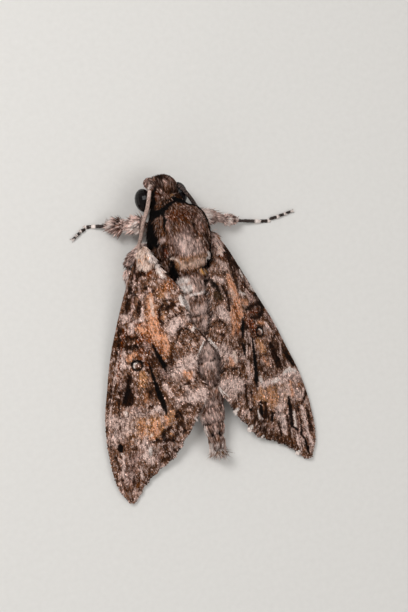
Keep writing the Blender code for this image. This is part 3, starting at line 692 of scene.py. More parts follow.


# ---------------------------------------------------------------- body markings and lie
# Strokes on the body as it is seen from above
# The lilac and pinkish strokes on the middle of the thorax, at y 3 to 7, are partly its grey hair and
# partly painted sheen
# The pinkish stroke on the abdomen's right side, at y 26 to 33, is painted light that lifts the shade
# between the abdomen and the right forewing
BODY_MARKS = strokes("""
lilac .3 1.2: -2.6 -8.2 .8, 3.6 -8.4 .8
dark .45 1.6: 2.2 -5 .9, 2.2 -7.2 .9, .8 -9.2 1
pinkish .5 .6: -2.4 -8.2 .4, -3 -6.6 .4
dark .6 .8: 1 -9.4 .9, -1.6 -9 .6
lilac .7 .5: 3.4 -7.8 .6
black .7 .25: 2.8 -8 .12, 3.2 -8.8 .16
dark .7 .9: 1.4 -7.2 .5, 2.2 -8.2 .6
dark .75 1.2: 3 -5.4 .9, 1.4 -5.4 .9, -.6 -5.6 .8, -2.6 -5 1.2
russet .6 .5: 2.6 -6.4 .3, 2.6 -5 .3
white .8 .4: 4.3 -7 .3, 3.4 -7.8 .25
lilac .6 .5: 1.8 -6.2 .25, .8 -4.9 .25
black .97 .25: 1.8 -7.3 .14, 2.7 -7 .2, 3.2 -6.4 .3, 3.5 -5.2 .35, 3.7 -4 .4, 4.1 -3 .4,
  4.6 -1.8 .4
gold .95 .15: -.5 -5.2 .12, .1 -4.9 .16
dark .4 2.4: 2.4 -.8 1.6, -3 -.4 1.8
russet .35 1.6: 1.8 -.6 1.2, -1.4 -.4 1.2
lilac .9 2.2: -.4 3 1.2, .8 5.6 2.2
dark .5 1.2: -2.4 -1.6 .6, -2.5 3.2 .6
pinkish .6 2.2: -.8 7.2 .9, -2.8 7.4 .6
lilac .6 .5: 2.9 -1.8 .3, 3.1 .8 .3, 3.3 4.6 .3
pinkish .8 2.8: 1.5 4.2 .8, -.1 5 1.1, -1.8 5.8 .9
pinkish .8 1.2: .8 5.4 1, .6 6.8 .9
lilac .55 1.2: -3 .6 .5, -3.4 3.2 .6
lilac .6 .8: -4.2 -.8 .4, -4.6 2.4 .4
dark .75 1.2: -4 4.2 .7, -4.2 6.4 .8
black .9 .25: -2 1.4 .14, -2.2 2.6 .24
black .97 .2: 3.2 -2 .22, 3.4 -.3 .26, 3.9 1.1 .22, 3.9 2.7 .12
umber .75 .9: 4.8 -.6 .6, 4.9 2.4 .5
pinkish .9 .6: 4.7 3.6 .5
dark .92 .6: 4.8 5.2 .7, 4.5 7 .8
russet .6 .5: 4.7 5.6 .3, 4.6 6.8 .3
tan .9 1.4: 2.2 8.8 .8, -.3 9.2 1.2, -2.8 9 1
cream .5 1.2: 1.6 9.4 .5, -.8 9.4 .7, -3 9.2 .6
umber .7 .5: .4 8.4 .2, .9 10.6 .25
black .99 .4: 5.4 -1.3 .7, 4.4 -1.7 .75, 3.3 -2.2 .75, 1.6 -3.2 .75, -.4 -4 .65, -2.5 -3.2 .65,
  -4.2 -2 .45, -5.2 -.4 .35, -5.7 1.9 .35, -5.8 3.8 .35, -5.5 6.1 .35, -4.9 7.3 .3
umber .8 .25: 3.6 -2.6 .1, 2 -3.4 .14, .2 -4 .1
black .99 .4: 5.6 -1.6 .6, 6 .2 .7, 6 2.2 .6, 5.7 4.2 .45
cream .98 .2: 4 7.6 .14, 3.3 7.6 .2, 2.6 8 .2, 2.1 8.9 .14
black .99 .4: 3.8 8.5 .5, 3.5 9.9 .6, 2.9 11.2 .45
white .97 .2: -4 7.7 .16, -4.3 8.6 .26, -4 9.5 .14
black .99 .3: -4.6 7.4 .3, -4.9 8.7 .35, -4.5 9.9 .35, -3.5 10.6 .32, -2 10.6 .22
gold .98 .2: -2 11.1 .12, -3 11.3 .2, -3.9 11.3 .12
dark .85 .4: 1.4 11.2 .25, .2 11.3 .2
russet .8 .8: -2.4 12 .4, -4 12.4 .6
pinkish .85 .8: 1.8 13.2 1.6, -.8 13.4 .9, -1.8 13.8 .5
umber .5 .6: -.9 12.6 .4, -1.6 14.2 .5
white .99 .3: 2.4 12.2 .55, 1.1 12.3 .5
white 1 .3: 2.5 13.9 .85, 1.2 14 .8
tan .7 .15: 2.9 13 .06, .8 13.1 .08
umber .7 .3: -.2 12.4 .12, -.4 14.6 .14
dark .8 .8: -3 13.4 .5, -4.4 14.9 .6
white .97 .2: 1 15.3 .2, -.6 15.4 .16, -2.4 15.1 .24
black .85 .25: .9 15.8 .12, -.8 15.9 .2, -2.6 15.7 .2
white .98 .5: 2.8 15.4 .8, 2.5 16.8 .75, 2.2 18 .4, 2.2 18.9 .3
umber .6 1.2: .2 16.8 .6, -1.6 17.2 .7
pinkish .7 1.2: .2 18.4 .8, -2.2 18.6 .7
olive .6 .8: -3.6 16.6 .6, -4 17.6 .6
black .9 .25: 1.8 19.6 .14, .8 19.9 .2, -.6 19.6 .14, -2.5 19.7 .2
dark .8 .4: 1.9 20.6 .35
pinkish .9 .5: 2 22 .45
white .9 .3: -1.5 21.6 .2, -2.6 21.8 .2
dark .7 .5: -1.4 22.6 .3, -1.6 24 .3
pinkish .75 1.6: 0 26.8 1, -.8 30 1.2
pinkish .95 .8: -2.4 26 .5, -2.9 29.4 .8, -2.6 33 .6
umber .6 1: .8 31 .6, -.6 32.4 .9
lilac .8 .5: .8 33.4 .4, -1.4 33.6 .5
orange .75 .5: -.9 35.5 .4
umber .45 1.5: 0 38.4 2.4, 0 43.2 1.8
lilac .8 .6: -2.9 37.4 .5, -2.6 41.2 .4, -1.6 43.8 .3
lilac .6 1.4: .6 38.2 1.2, .2 42 1.2
pinkish .75 .8: .6 37.6 .6, -.6 37.6 .5
pinkish .75 .8: .8 40.4 .8, -.8 40.6 .6
white .9 .25: 1.7 36.6 .2, 1.8 37.6 .16
white .9 .25: 2.8 39.4 .2, 2.8 40.4 .25, 2.4 41.4 .14, 1.9 44 .16
pinkish .8 .5: .2 43.4 .5
black .95 .3: 1.2 43.9 .3, .7 44.7 .25
black .95 .3: -.5 43.8 .3, -.7 44.7 .25
white .97 .3: -1.7 44.7 .4, -2 45.3 .35
pinkish .95 .5: -1.6 47 1, 1.6 47 1
white .97 .3: 1.5 45.8 .2, 1.8 49.4 .25
white .97 .3: .3 46 .2, .3 49.4 .3
white .97 .3: -1 46.2 .2, -1.2 49.4 .25
dark .9 .25: .9 46 .16, 1 48.8 .1
dark .9 .25: -.4 46 .16, -.5 48.4 .1
""")
# Tufts that stand up behind the thorax and on the abdomen's base, seen from above
CRESTS = (
    ((3.8, 8.5, 0.5), (3.5, 9.9, 0.6), (2.9, 11.2, 0.5)),
    ((-4.6, 7.6, 0.4), (-4.9, 8.8, 0.4), (-4.5, 9.9, 0.4), (-3.5, 10.6, 0.4), (-2.0, 10.6, 0.3)),
)
CREST_LOW = 8.0         # least height of their roots, in mm
HEAD_REAR = -3.7        # places along the body, as y in mm
THORAX_END = 11.6
FACE = (-4.4, -6.4)
PALPS = (-7.6, -8.6)
ABDOMEN = (11.0, 12.5)
TAIL = (44.0, 47.0)
BACK = (-0.5, -0.1)     # heights round the trunk between which the back's marks fade
LIMB_REACH = 2.1
TRUNK_SLACK = 0.25
PALP_LIE = (0.0, -0.35, 1.0)
HAIR_STREAK, HAIR_GRAIN = (0.34, 1.6), (0.16, 0.9)
BODY_RAGGED = 0.4
DARK_MARK = 0.02
BODY_CONTRAST = 1.2


def trunk_side(points):
    """Sideways and upward place of points around the trunk, 1 away at its surface."""
    profile = curve_at(BODY_PROFILE, points[:, 1])
    middle = (profile[:, 1] + profile[:, 2]) / 2
    shift = HEAD_SHIFT * np.clip((-2.0 - points[:, 1]) / 3.0, 0.0, 1.0)
    side = (points[:, 0] - shift) / (profile[:, 0] + TRUNK_SLACK)
    up = (points[:, 2] - middle) / ((profile[:, 1] - profile[:, 2]) / 2 + TRUNK_SLACK)
    return side, up


def limbs():
    """Every thigh and shin as (name, start, end)."""
    for name, joints in LEG_JOINTS.items():
        yield f"femur_{name}", np.array(joints[0]), np.array(joints[1])
        yield f"tibia_{name}", np.array(joints[1]), np.array(joints[2])


def nearest_limb(points):
    """Index of each point's limb, or -1 on the trunk, with its share along the limb."""
    side, up = trunk_side(points)
    on_trunk = side ** 2 + up ** 2 < 1.0
    best = np.full(len(points), LIMB_REACH)
    index = np.full(len(points), -1)
    share = np.zeros(len(points))
    for i, (_, a, b) in enumerate(limbs()):
        t = np.clip((points - a) @ (b - a) / ((b - a) @ (b - a)), 0.0, 1.0)
        away = np.linalg.norm(points - a - t[:, None] * (b - a), axis=1)
        closer = (away < best) & ~on_trunk
        best = np.where(closer, away, best)
        index = np.where(closer, i, index)
        share = np.where(closer, t, share)
    return index, share


def on_leg(points):
    """Which points lie on a thigh or a shin."""
    return nearest_limb(points)[0] >= 0


def body_lie(points):
    """The direction that hair lies in on the body and legs."""
    x, y, z = points.T
    lie = np.column_stack((0.03 * x, np.ones(len(x)), np.zeros(len(x))))
    face = smooth(*FACE, y)[:, None]
    forwards = np.column_stack((0.18 * (x - HEAD_SHIFT), -np.ones(len(x)), -0.5 * np.ones(len(x))))
    lie = lie * (1 - face) + forwards * face
    palp = (smooth(*PALPS, y) * smooth(6.4, 5.4, z))[:, None]
    lie = lie * (1 - palp) + np.array(PALP_LIE) * palp
    tail = smooth(*TAIL, y)[:, None]
    lie = lie + np.column_stack((0.22 * x, 0 * x, 0 * x)) * tail
    index, _ = nearest_limb(points)
    for i, (_, a, b) in enumerate(limbs()):
        lie[index == i] = b - a
    return unit(lie)


def body_colours(points, seed):
    """Colours of the body's coat at points in mm."""
    x, y, _ = points.T
    up = trunk_side(points)[1]
    lie = body_lie(points)
    tone = streaks(points, lie, *HAIR_STREAK, seed)
    grain = streaks(points, lie, *HAIR_GRAIN, seed + 1)
    flat = points[:, :2] + BODY_RAGGED * wobble(points, (0.45, 0.45), 1, seed + 2)
    abdomen = smooth(*ABDOMEN, y)
    mottle = noise(points, 0.6, seed + 7)
    colours = laid(
        plain("umber", len(x)),
        ("ground", abdomen),
        ("pinkish", abdomen * (0.25 + 0.6 * smooth(0.52, 0.72, mottle))),
        ("umber", abdomen * 0.7 * smooth(0.45, 0.28, mottle)),
        ("ochre", 0.6 * abdomen * (1 - smooth(0.25, 0.45, np.abs(up + 0.15)))),
        ("lilac", 0.7 * smooth(-0.3, -0.7, up)),
    )
    marked = painted(colours, flat, BODY_MARKS)
    colours = colours + (marked - colours) * smooth(*BACK, up)[:, None]
    for end in SEGMENT_ENDS[3:-1]:
        away = flat[:, 1] - end - 0.15 * np.cos(1.3 * x)
        band = 1 - smooth(0.2, 0.8, np.abs(away + 0.9))
        broken = smooth(-0.5, 0.1, np.sin(2.1 * x + end))
        line = 1 - smooth(0.1, 0.32, np.abs(away))
        colours = laid(colours, ("lilac", 0.5 * abdomen * band),
                       ("black", 0.85 * abdomen * broken * line))
    blotch = noise(points, 0.9, seed + 4)
    fluff = laid(plain("lilac", len(x)), ("pinkish", 0.4 + 0.4 * tone),
                 ("white", 0.8 * smooth(0.6, 0.8, blotch)), ("dark", 0.8 * smooth(0.42, 0.26, blotch)))
    colours = np.where(on_leg(points)[:, None], fluff, colours)
    light = colours.max(axis=1) > DARK_MARK
    colours = laid(colours, ("pinkish", light * (0.3 * smooth(0.3, 1.0, grain))))
    shade = 1 + 0.4 * tone * (0.7 + 0.3 * (tone > 0)) + 0.4 * np.minimum(grain, 0.3)
    return contrasted(colours * shade[:, None], BODY_CONTRAST)


# ---------------------------------------------------------------- small mesh tools
def deselect():
    """Leaves no object selected."""
    for obj in bpy.context.view_layer.objects:
        obj.select_set(False)


def activate(obj):
    """Makes obj the only selected and the active object."""
    deselect()
    obj.select_set(True)
    bpy.context.view_layer.objects.active = obj


def coordinates(mesh, normals=False):
    """A mesh's points, or its smooth normals, as an array."""
    source = mesh.vertex_normals if normals else mesh.vertices
    values = np.empty(len(mesh.vertices) * 3, np.float32)
    source.foreach_get("vector" if normals else "co", values)
    return values.reshape(-1, 3).astype(float)


def move_points(mesh, points):
    """Sets the places of a mesh's points, in metres."""
    mesh.vertices.foreach_set("co", np.asarray(points, np.float32).ravel())
    mesh.update()


def linked(name, data):
    """A new object of the scene that shows this data."""
    obj = bpy.data.objects.new(name, data)
    bpy.context.scene.collection.objects.link(obj)
    return obj


def apply_modifier(obj, kind, **settings):
    """Adds a modifier with these settings and applies it."""
    activate(obj)
    modifier = obj.modifiers.new(kind.title(), kind)
    for name, value in settings.items():
        setattr(modifier, name, value)
    bpy.ops.object.modifier_apply(modifier=modifier.name)


def edited(obj, *steps):
    """Runs mesh operators, each with its settings, on the whole of obj in edit mode."""
    activate(obj)
    bpy.ops.object.mode_set(mode="EDIT")
    for step, settings in steps:
        bpy.ops.mesh.select_all(action="SELECT")
        step(**settings)
    bpy.ops.object.mode_set(mode="OBJECT")


def triangle_mesh(name, points, triangles, flat=False):
    """An object from arrays of points in mm and triangles."""
    mesh = bpy.data.meshes.new(name)
    mesh.vertices.add(len(points))
    mesh.vertices.foreach_set("co", placed(points).astype(np.float32).ravel())
    mesh.loops.add(triangles.size)
    mesh.loops.foreach_set("vertex_index", triangles.astype(np.int32).ravel())
    mesh.polygons.add(len(triangles))
    mesh.polygons.foreach_set("loop_start", np.arange(0, triangles.size, 3, dtype=np.int32))
    mesh.update(calc_edges=True)
    if not flat:
        mesh.shade_smooth()
    return linked(name, mesh)


def repeated(faces, corners, count):
    """Triangles of a part of so many corners, for count copies of it."""
    return (faces[None] + (np.arange(count) * corners)[:, None, None]).reshape(-1, 3)


def stain(obj, colours, along=0.0):
    """Stores colours, and how far along a tuft each point is, in the attribute coat."""
    mesh = obj.data
    attribute = mesh.attributes.new("coat", "FLOAT_COLOR", "POINT")
    values = np.empty((len(mesh.vertices), 4), np.float32)
    values[:, :3] = colours
    values[:, 3] = along
    attribute.data.foreach_set("color", values.ravel())


def dress(obj, material):
    """Makes a material the only one of obj."""
    obj.data.materials.clear()
    obj.data.materials.append(material)


def finish_piece(obj, slot, material, *nodes):
    """Gives a piece its material and body, and hides the solids that it stands for; slot is not used.
    """
    dress(obj, material)
    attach(obj, "root")
    if nodes:
        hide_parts(*nodes)


# ---------------------------------------------------------------- tufts
# Each form of tuft as its points (along, across, up) and its triangles
LOCK = (
    np.array(((0, -.5, 0), (0, .5, 0), (0, 0, .45), (.5, -.42, 0), (.5, .42, 0), (.5, 0, .4),
              (1, 0, 0))),
    np.array(((0, 2, 1), (0, 1, 4), (0, 4, 3), (1, 2, 5), (1, 5, 4), (2, 0, 3), (2, 3, 5),
              (3, 4, 6), (4, 5, 6), (5, 3, 6))),
)
SCALE = (
    np.array(((0, 0, 0), (.62, -.5, 0), (.62, .5, 0), (.55, 0, .2), (1, 0, 0))),
    np.array(((0, 2, 4), (0, 4, 1), (0, 3, 2), (0, 1, 3), (2, 3, 4), (3, 1, 4))),
)
HAIR = (
    np.array(((0, -.5, 0), (0, .5, 0), (.15, 0, .6), (1, 0, 0))),
    np.array(((0, 2, 1), (0, 1, 3), (1, 2, 3), (2, 0, 3))),
)
PATCH = 0.003           # a tuft's share of its piece's UV square
SUNK = 0.06             # how deep roots sit in the skin, in mm
# Painted shade darkens a tuft at its root, deep in the coat, and painted sheen lightens its tip
ROOT_PAINTED_SHADE, TIP_PAINTED_SHEEN = 0.7, 1.15
FLOOR_GAP = 0.12


def roots_on(obj, count, density, seed):
    """Places spread over a mesh by density: points in mm, normals and the first UV map's values."""
    mesh = obj.data
    mesh.calc_loop_triangles()
    total = len(mesh.loop_triangles)
    corners = np.empty(total * 3, np.int32)
    mesh.loop_triangles.foreach_get("vertices", corners)
    loops = np.empty(total * 3, np.int32)
    mesh.loop_triangles.foreach_get("loops", loops)
    corners, loops = corners.reshape(-1, 3), loops.reshape(-1, 3)
    points, normals = measured(coordinates(mesh)), coordinates(mesh, normals=True)
    a, b, c = (points[corners[:, i]] for i in range(3))
    areas = np.linalg.norm(np.cross(b - a, c - a), axis=1) / 2
    weights = areas * density((a + b + c) / 3, unit(normals[corners].mean(axis=1)))
    rng = np.random.default_rng(seed)
    sums = np.cumsum(weights)
    picks = (np.arange(count) + rng.random(count)) / count * sums[-1]
    chosen = np.clip(np.searchsorted(sums, picks), 0, total - 1)
    u, v = rng.random(count), rng.random(count)
    over = u + v > 1
    u, v = np.where(over, 1 - u, u), np.where(over, 1 - v, v)
    shares = np.column_stack((1 - u - v, u, v))[:, :, None]
    root = (points[corners[chosen]] * shares).sum(axis=1)
    normal = unit((normals[corners[chosen]] * shares).sum(axis=1))
    flat = np.zeros((count, 2))
    if mesh.uv_layers:
        uv = np.empty(len(mesh.loops) * 2, np.float32)
        mesh.uv_layers[0].data.foreach_get("uv", uv)
        flat = (uv.reshape(-1, 2)[loops[chosen]] * shares).sum(axis=1)
    return root, normal, flat


def press_up(points):
    """What would reach below the floor is pressed flat just above it."""
    low = np.minimum(points[..., 2], FLOOR_GAP)
    points[..., 2] += FLOOR_GAP * np.exp(low / FLOOR_GAP - 1) - low


def along_skin(lie, normal):
    """Directions turned down onto the skin that has these normals."""
    return unit(lie - normal * (lie * normal).sum(axis=1, keepdims=True))


def lay_tufts(name, form, root, normal, lie, length, width, rise, colours, unwrap):
    """One joined mesh of tufts, each along its lie and lifted by rise times its length."""
    shape, faces = form
    lie = along_skin(lie, normal)
    across = np.cross(normal, lie)
    count = len(root)
    length, width, rise = (np.broadcast_to(v, count)[:, None] for v in (length, width, rise))
    along, sideways, up = shape.T
    lift = along * (1.7 - 0.7 * along)      # steeper near the root
    points = (
        root[:, None] - normal[:, None] * SUNK
        + lie[:, None] * (length * along)[:, :, None]
        + across[:, None] * (width * sideways)[:, :, None]
        + normal[:, None] * (width * up + length * rise * lift)[:, :, None]
    )
    press_up(points)
    triangles = repeated(faces, len(shape), count)
    obj = triangle_mesh(name, points.reshape(-1, 3), triangles, flat=form is not LOCK)
    # painted shade towards each tuft's root and painted sheen towards its tip
    shade = ROOT_PAINTED_SHADE + (TIP_PAINTED_SHEEN - ROOT_PAINTED_SHADE) * along
    stain(obj, (colours[:, None] * shade[None, :, None]).reshape(-1, 3), np.tile(along, count))
    local = np.column_stack((along - 0.5, sideways)) * PATCH
    flat = (np.clip(unwrap, PATCH, 1 - PATCH)[:, None] + local[None]).reshape(-1, 2)
    layer = obj.data.uv_layers.new(name="OFBake")
    layer.data.foreach_set("uv", flat[triangles.ravel()].astype(np.float32).ravel())
    return obj


def turned(lie, normal, angles):
    """Directions turned about the normals by angles in radians."""
    across = np.cross(normal, lie)
    return lie * np.cos(angles)[:, None] + across * np.sin(angles)[:, None]


# ---------------------------------------------------------------- shader maths
class Value:
    """An output socket; arithmetic on it adds Math nodes to its tree."""

    def __init__(self, tree, socket):
        self.tree = tree
        self.socket = socket

    def _math(self, operation, first, second):
        node = self.tree.nodes.new("ShaderNodeMath")
        node.operation = operation
        join(self.tree, node.inputs[0], first)
        join(self.tree, node.inputs[1], second)
        return Value(self.tree, node.outputs[0])

    def __add__(self, other):
        return self._math("ADD", self, other)

    def __sub__(self, other):
        return self._math("SUBTRACT", self, other)

    def __mul__(self, other):
        return self._math("MULTIPLY", self, other)

    __radd__ = __add__


def join(tree, socket, value):
    """Links a Value to a socket, or sets the socket to a plain value."""
    if isinstance(value, Value):
        tree.links.new(value.socket, socket)
    else:
        socket.default_value = value


class Finish:
    """A material under construction, with one Principled shader."""

    def __init__(self, name, **uniform):
        self.material = bpy.data.materials.new(name)
        self.material.use_nodes = True
        self.tree = self.material.node_tree
        self.shader = self.tree.nodes["Principled BSDF"]
        for socket, value in uniform.items():
            self.shader.inputs[socket.replace("_", " ")].default_value = value

    def node(self, kind, settings=None, values=None, output=0):
        """A node of a type, with its settings first and then its sockets' values or links."""
        node = self.tree.nodes.new(kind)
        for name, value in (settings or {}).items():
            setattr(node, name, value)
        for name, value in (values or {}).items():
            join(self.tree, node.inputs[name], value)
        return Value(self.tree, node.outputs[output])

    def place(self):
        """Object coordinates in metres."""
        return self.node("ShaderNodeTexCoord", output="Object")

    def coat(self, output="Color"):
        """The colours stored on the piece, or in Alpha how far along its tuft a point is."""
        return self.node("ShaderNodeAttribute", {"attribute_name": "coat"}, output=output)

    def noise(self, vector, scale, detail=2.0):
        """Noise with so many features to the metre."""
        return self.node("ShaderNodeTexNoise", values={
            "Vector": vector, "Scale": scale, "Detail": detail}, output="Fac")

    def mix(self, share, first, second):
        """One colour laid over another by share."""
        return self.node("ShaderNodeMix", {"data_type": "RGBA"},
                         {0: share, 6: first, 7: second}, output=2)

    def bright(self, colour, factor):
        """A colour times a number."""
        return self.node("ShaderNodeVectorMath", {"operation": "SCALE"}, {0: colour, 3: factor})

    def bump(self, height, distance, strength=1.0):
        """A normal bumped by a height of 0 to 1 over a distance in metres."""
        return self.node("ShaderNodeBump", values={
            "Height": height, "Distance": distance, "Strength": strength}, output="Normal")

    def wear(self, **sockets):
        """Links or sets the shader's sockets and gives back the material."""
        for socket, value in sockets.items():
            join(self.tree, self.shader.inputs[socket.replace("_", " ")], value)
        return self.material


FINE_SCALE, BROAD_SCALE = 5200.0, 1500.0    # features to the metre
FACET_SCALE, BLOOM_SCALE = 7000.0, 420.0
HORN_SCALE, RING_SCALE, TONGUE_SCALE = 6500.0, 900.0, 3000.0
TOOTH_SCALE = 900.0
EYE_SHADES = (0.002, 0.0018, 0.0024, 1.0), (0.016, 0.008, 0.006, 1.0)
TONGUE_SHADES = (0.055, 0.02, 0.009, 1.0), (0.16, 0.07, 0.03, 1.0)
FLOOR_SHADES = (0.66, 0.645, 0.62, 1.0), (0.72, 0.705, 0.68, 1.0)


def coat_finish(name, speckle, roughness, gloss, bump=0.00002):
    """Hair or scales coloured by the attribute coat, with a fine speckle and painted sheen at the
    tips.
    """
    finish = Finish(name, Specular_IOR_Level=gloss)
    colour, along = finish.coat(), finish.coat("Alpha")
    place = finish.place()
    fine, broad = finish.noise(place, FINE_SCALE), finish.noise(place, BROAD_SCALE, 1.0)
    # along lightens the tips as painted sheen
    shade = 1.0 + (fine - 0.5) * speckle * 2.0 + (broad - 0.5) * speckle + along * 0.08
    return finish.wear(
        Base_Color=finish.bright(colour, shade),
        Roughness=roughness + (fine - 0.5) * 0.3,
        Normal=finish.bump(fine, bump),
    )


def eye_finish():
    """Glossy black compound eye with fine facets and a faint brown bloom."""
    finish = Finish("eye_gloss", IOR=1.33, Specular_IOR_Level=0.25)
    place = finish.place()
    facets = finish.node("ShaderNodeTexVoronoi", {"feature": "F1"},
                         {"Vector": place, "Scale": FACET_SCALE}, output="Distance")
    bloom = finish.noise(place, BLOOM_SCALE)
    return finish.wear(Base_Color=finish.mix(bloom * 0.35, *EYE_SHADES),
                       Roughness=0.14 + facets * 0.15,
                       Normal=finish.bump(facets, 0.000005, 0.5))


def horn_finish(name, gloss, roughness):
    """Coloured horn with a fine grain."""
    finish = Finish(name, Specular_IOR_Level=gloss)
    grain = finish.noise(finish.place(), HORN_SCALE)
    return finish.wear(Base_Color=finish.bright(finish.coat(), 0.75 + grain * 0.5),
                       Roughness=roughness + grain * 0.2, Normal=finish.bump(grain, 0.00001))


def tongue_finish():
    """Satin brown horn with fine rings along the coil."""
    finish = Finish("tongue_horn", Specular_IOR_Level=0.6)
    place = finish.place()
    rings = finish.node("ShaderNodeTexWave", {"wave_type": "RINGS", "rings_direction": "SPHERICAL"},
                        {"Vector": place, "Scale": RING_SCALE, "Distortion": 2.0}, output="Fac")
    grain = finish.noise(place, TONGUE_SCALE)
    return finish.wear(Base_Color=finish.mix(grain, *TONGUE_SHADES),
                       Roughness=0.32 + rings * 0.2, Normal=finish.bump(rings, 0.00002, 0.5))


def floor_finish():
    """Plain pale board with a barely visible tooth."""
    finish = Finish("pale_floor", Specular_IOR_Level=0.3)
    tooth = finish.noise(finish.place(), TOOTH_SCALE, 3.0)
    return finish.wear(Base_Color=finish.mix(tooth, *FLOOR_SHADES), Roughness=0.85,
                       Normal=finish.bump(tooth, 0.00003, 0.3))


# ---------------------------------------------------------------- the body's skin
JOIN_SWELL = 0.25       # how far the solids swell, in mm, so that they join into one skin
SMOOTHING = 6
SKIN_DEPTH, LEG_DEPTH = 0.24, 0.4
GROOVE = 0.14           # how much deeper the skin is where two segments meet
SKIN_SHADE = 0.8
BODY_SEED, COAT_SEED = 11, 100


def eye_distance(points):
    """Distance of points in mm from the middle of the nearer eye, squashed to the eye's shape."""
    return np.min([np.linalg.norm((points - (side * EYE[0] + HEAD_SHIFT, EYE[1], EYE[2]))
                                  / (1.0, 1.3, 1.3), axis=1) for _, side in SIDES], axis=0)


def skin_depth(points):
    """How far the skin lies under the coat's surface, in mm."""
    depth = np.full(len(points), SKIN_DEPTH)
    for end in SEGMENT_ENDS:
        depth += GROOVE * np.exp(-((points[:, 1] - end) / 0.4) ** 2)
    return np.where(on_leg(points), LEG_DEPTH, depth)


def make_body_skin():
    """The flesh solids joined into one smooth skin, drawn in to leave room for the coat."""
    copies = [linked(f"copy_{name}", frame["nodes"][name].data.copy()) for name in FLESH]
    activate(copies[0])
    for copy in copies:
        copy.select_set(True)
    bpy.ops.object.join()
    skin = bpy.context.view_layer.objects.active
    skin.name = "body_skin"
    edited(skin, (bpy.ops.mesh.remove_doubles, {"threshold": 1e-6}))
    apply_modifier(skin, "DISPLACE", strength=JOIN_SWELL * MM, mid_level=0.0)
    apply_modifier(skin, "REMESH", mode="VOXEL",
                   voxel_size=bpy.context.scene.moth_sizes.voxel)
    apply_modifier(skin, "SMOOTH", factor=0.5, iterations=SMOOTHING)
    points, normals = measured(coordinates(skin.data)), coordinates(skin.data, normals=True)
    points = points - normals * (JOIN_SWELL + skin_depth(points))[:, None]
    move_points(skin.data, placed(points))
    skin.data.shade_smooth()
    stain(skin, body_colours(points, BODY_SEED) * SKIN_SHADE)
    return skin


# ---------------------------------------------------------------- the body's coat
def crest_share(points):
    """1 on the tufts that stand up behind the thorax."""
    share = np.zeros(len(points))
    for route in CRESTS:
        share = np.maximum(share, nearness(points[:, :2], route, 0.5))
    return share * (points[:, 2] > CREST_LOW)


REGIONS = {
    # name: (tuft, front y, rear y, on the legs, tufts)
    "coat_head": (HAIR, -math.inf, HEAD_REAR, False, 22000),
    "coat_thorax": (HAIR, HEAD_REAR, THORAX_END, False, 46000),
    "coat_abdomen": (HAIR, THORAX_END, math.inf, False, 46000),
    "coat_legs": (LOCK, -math.inf, math.inf, True, 17000),
}


HAIR_LENGTH, HAIR_WIDTH, HAIR_RISE = 0.5, 0.11, 0.2
LEG_WIDTH, LEG_RISE = 0.27, 0.48
FORELEG_LENGTH, LEG_LENGTH = 1.6, 0.9
FORELEG_END = 0.9       # y behind which leg hair is that of the other legs
# Where hair grows longer along the body: (by how much, y where it starts, y where it is full)
LONGER = ((0.1, -3.4, -5.2), (0.1, 11.0, 13.0), (2.2, 44.4, 46.8))


def hair_sizes(points, rng):
    """Length, width and rise of the locks at points in mm."""
    x, y, z = points.T
    count = len(points)
    length = np.full(count, HAIR_LENGTH)
    # The thorax's flanks bristle, most on the moth's left
    flank = smooth(4.6, 5.6, np.abs(x)) * smooth(-2.2, -1.0, y) * smooth(7.0, 5.0, y)
    flank *= 0.25 + 0.75 * (x > 0)
    length += 0.6 * flank
    for more, start, full in LONGER:
        length += more * smooth(start, full, y)
    rise = np.full(count, HAIR_RISE)
    rise += 0.4 * flank
    rise += 0.2 * smooth(9.0, 11.0, y) * smooth(13.0, 11.0, y)
    rise -= 0.12 * smooth(44.0, 46.5, y)
    crest = crest_share(points)
    length += 0.5 * crest
    rise += 0.3 * crest
    width = np.full(count, HAIR_WIDTH) + 0.09 * smooth(44.4, 46.4, y)
    around_eye = eye_distance(points)
    length *= 1 - 0.5 * (1 - smooth(2.1, 3.2, around_eye))
    palp = smooth(-8.0, -8.8, y) * smooth(5.6, 4.8, z)
    length *= 1 - 0.4 * palp
    leg = on_leg(points)
    length = np.where(leg, np.where(y < FORELEG_END, FORELEG_LENGTH, LEG_LENGTH), length)
    rise = np.where(leg, LEG_RISE, rise)
    width = np.where(leg, LEG_WIDTH, width)
    spread = rng.normal(1.0, 0.24, (3, count)).clip(0.45, 1.7)
    return length * spread[0], width * spread[1], rise * spread[2]


CLUMP = 0.8             # size of the clumps in which hair leans, in mm
LEAN, LEG_LEAN = 0.9, 1.6
STRAY = 0.16            # how far single tufts turn from their lie, in radians


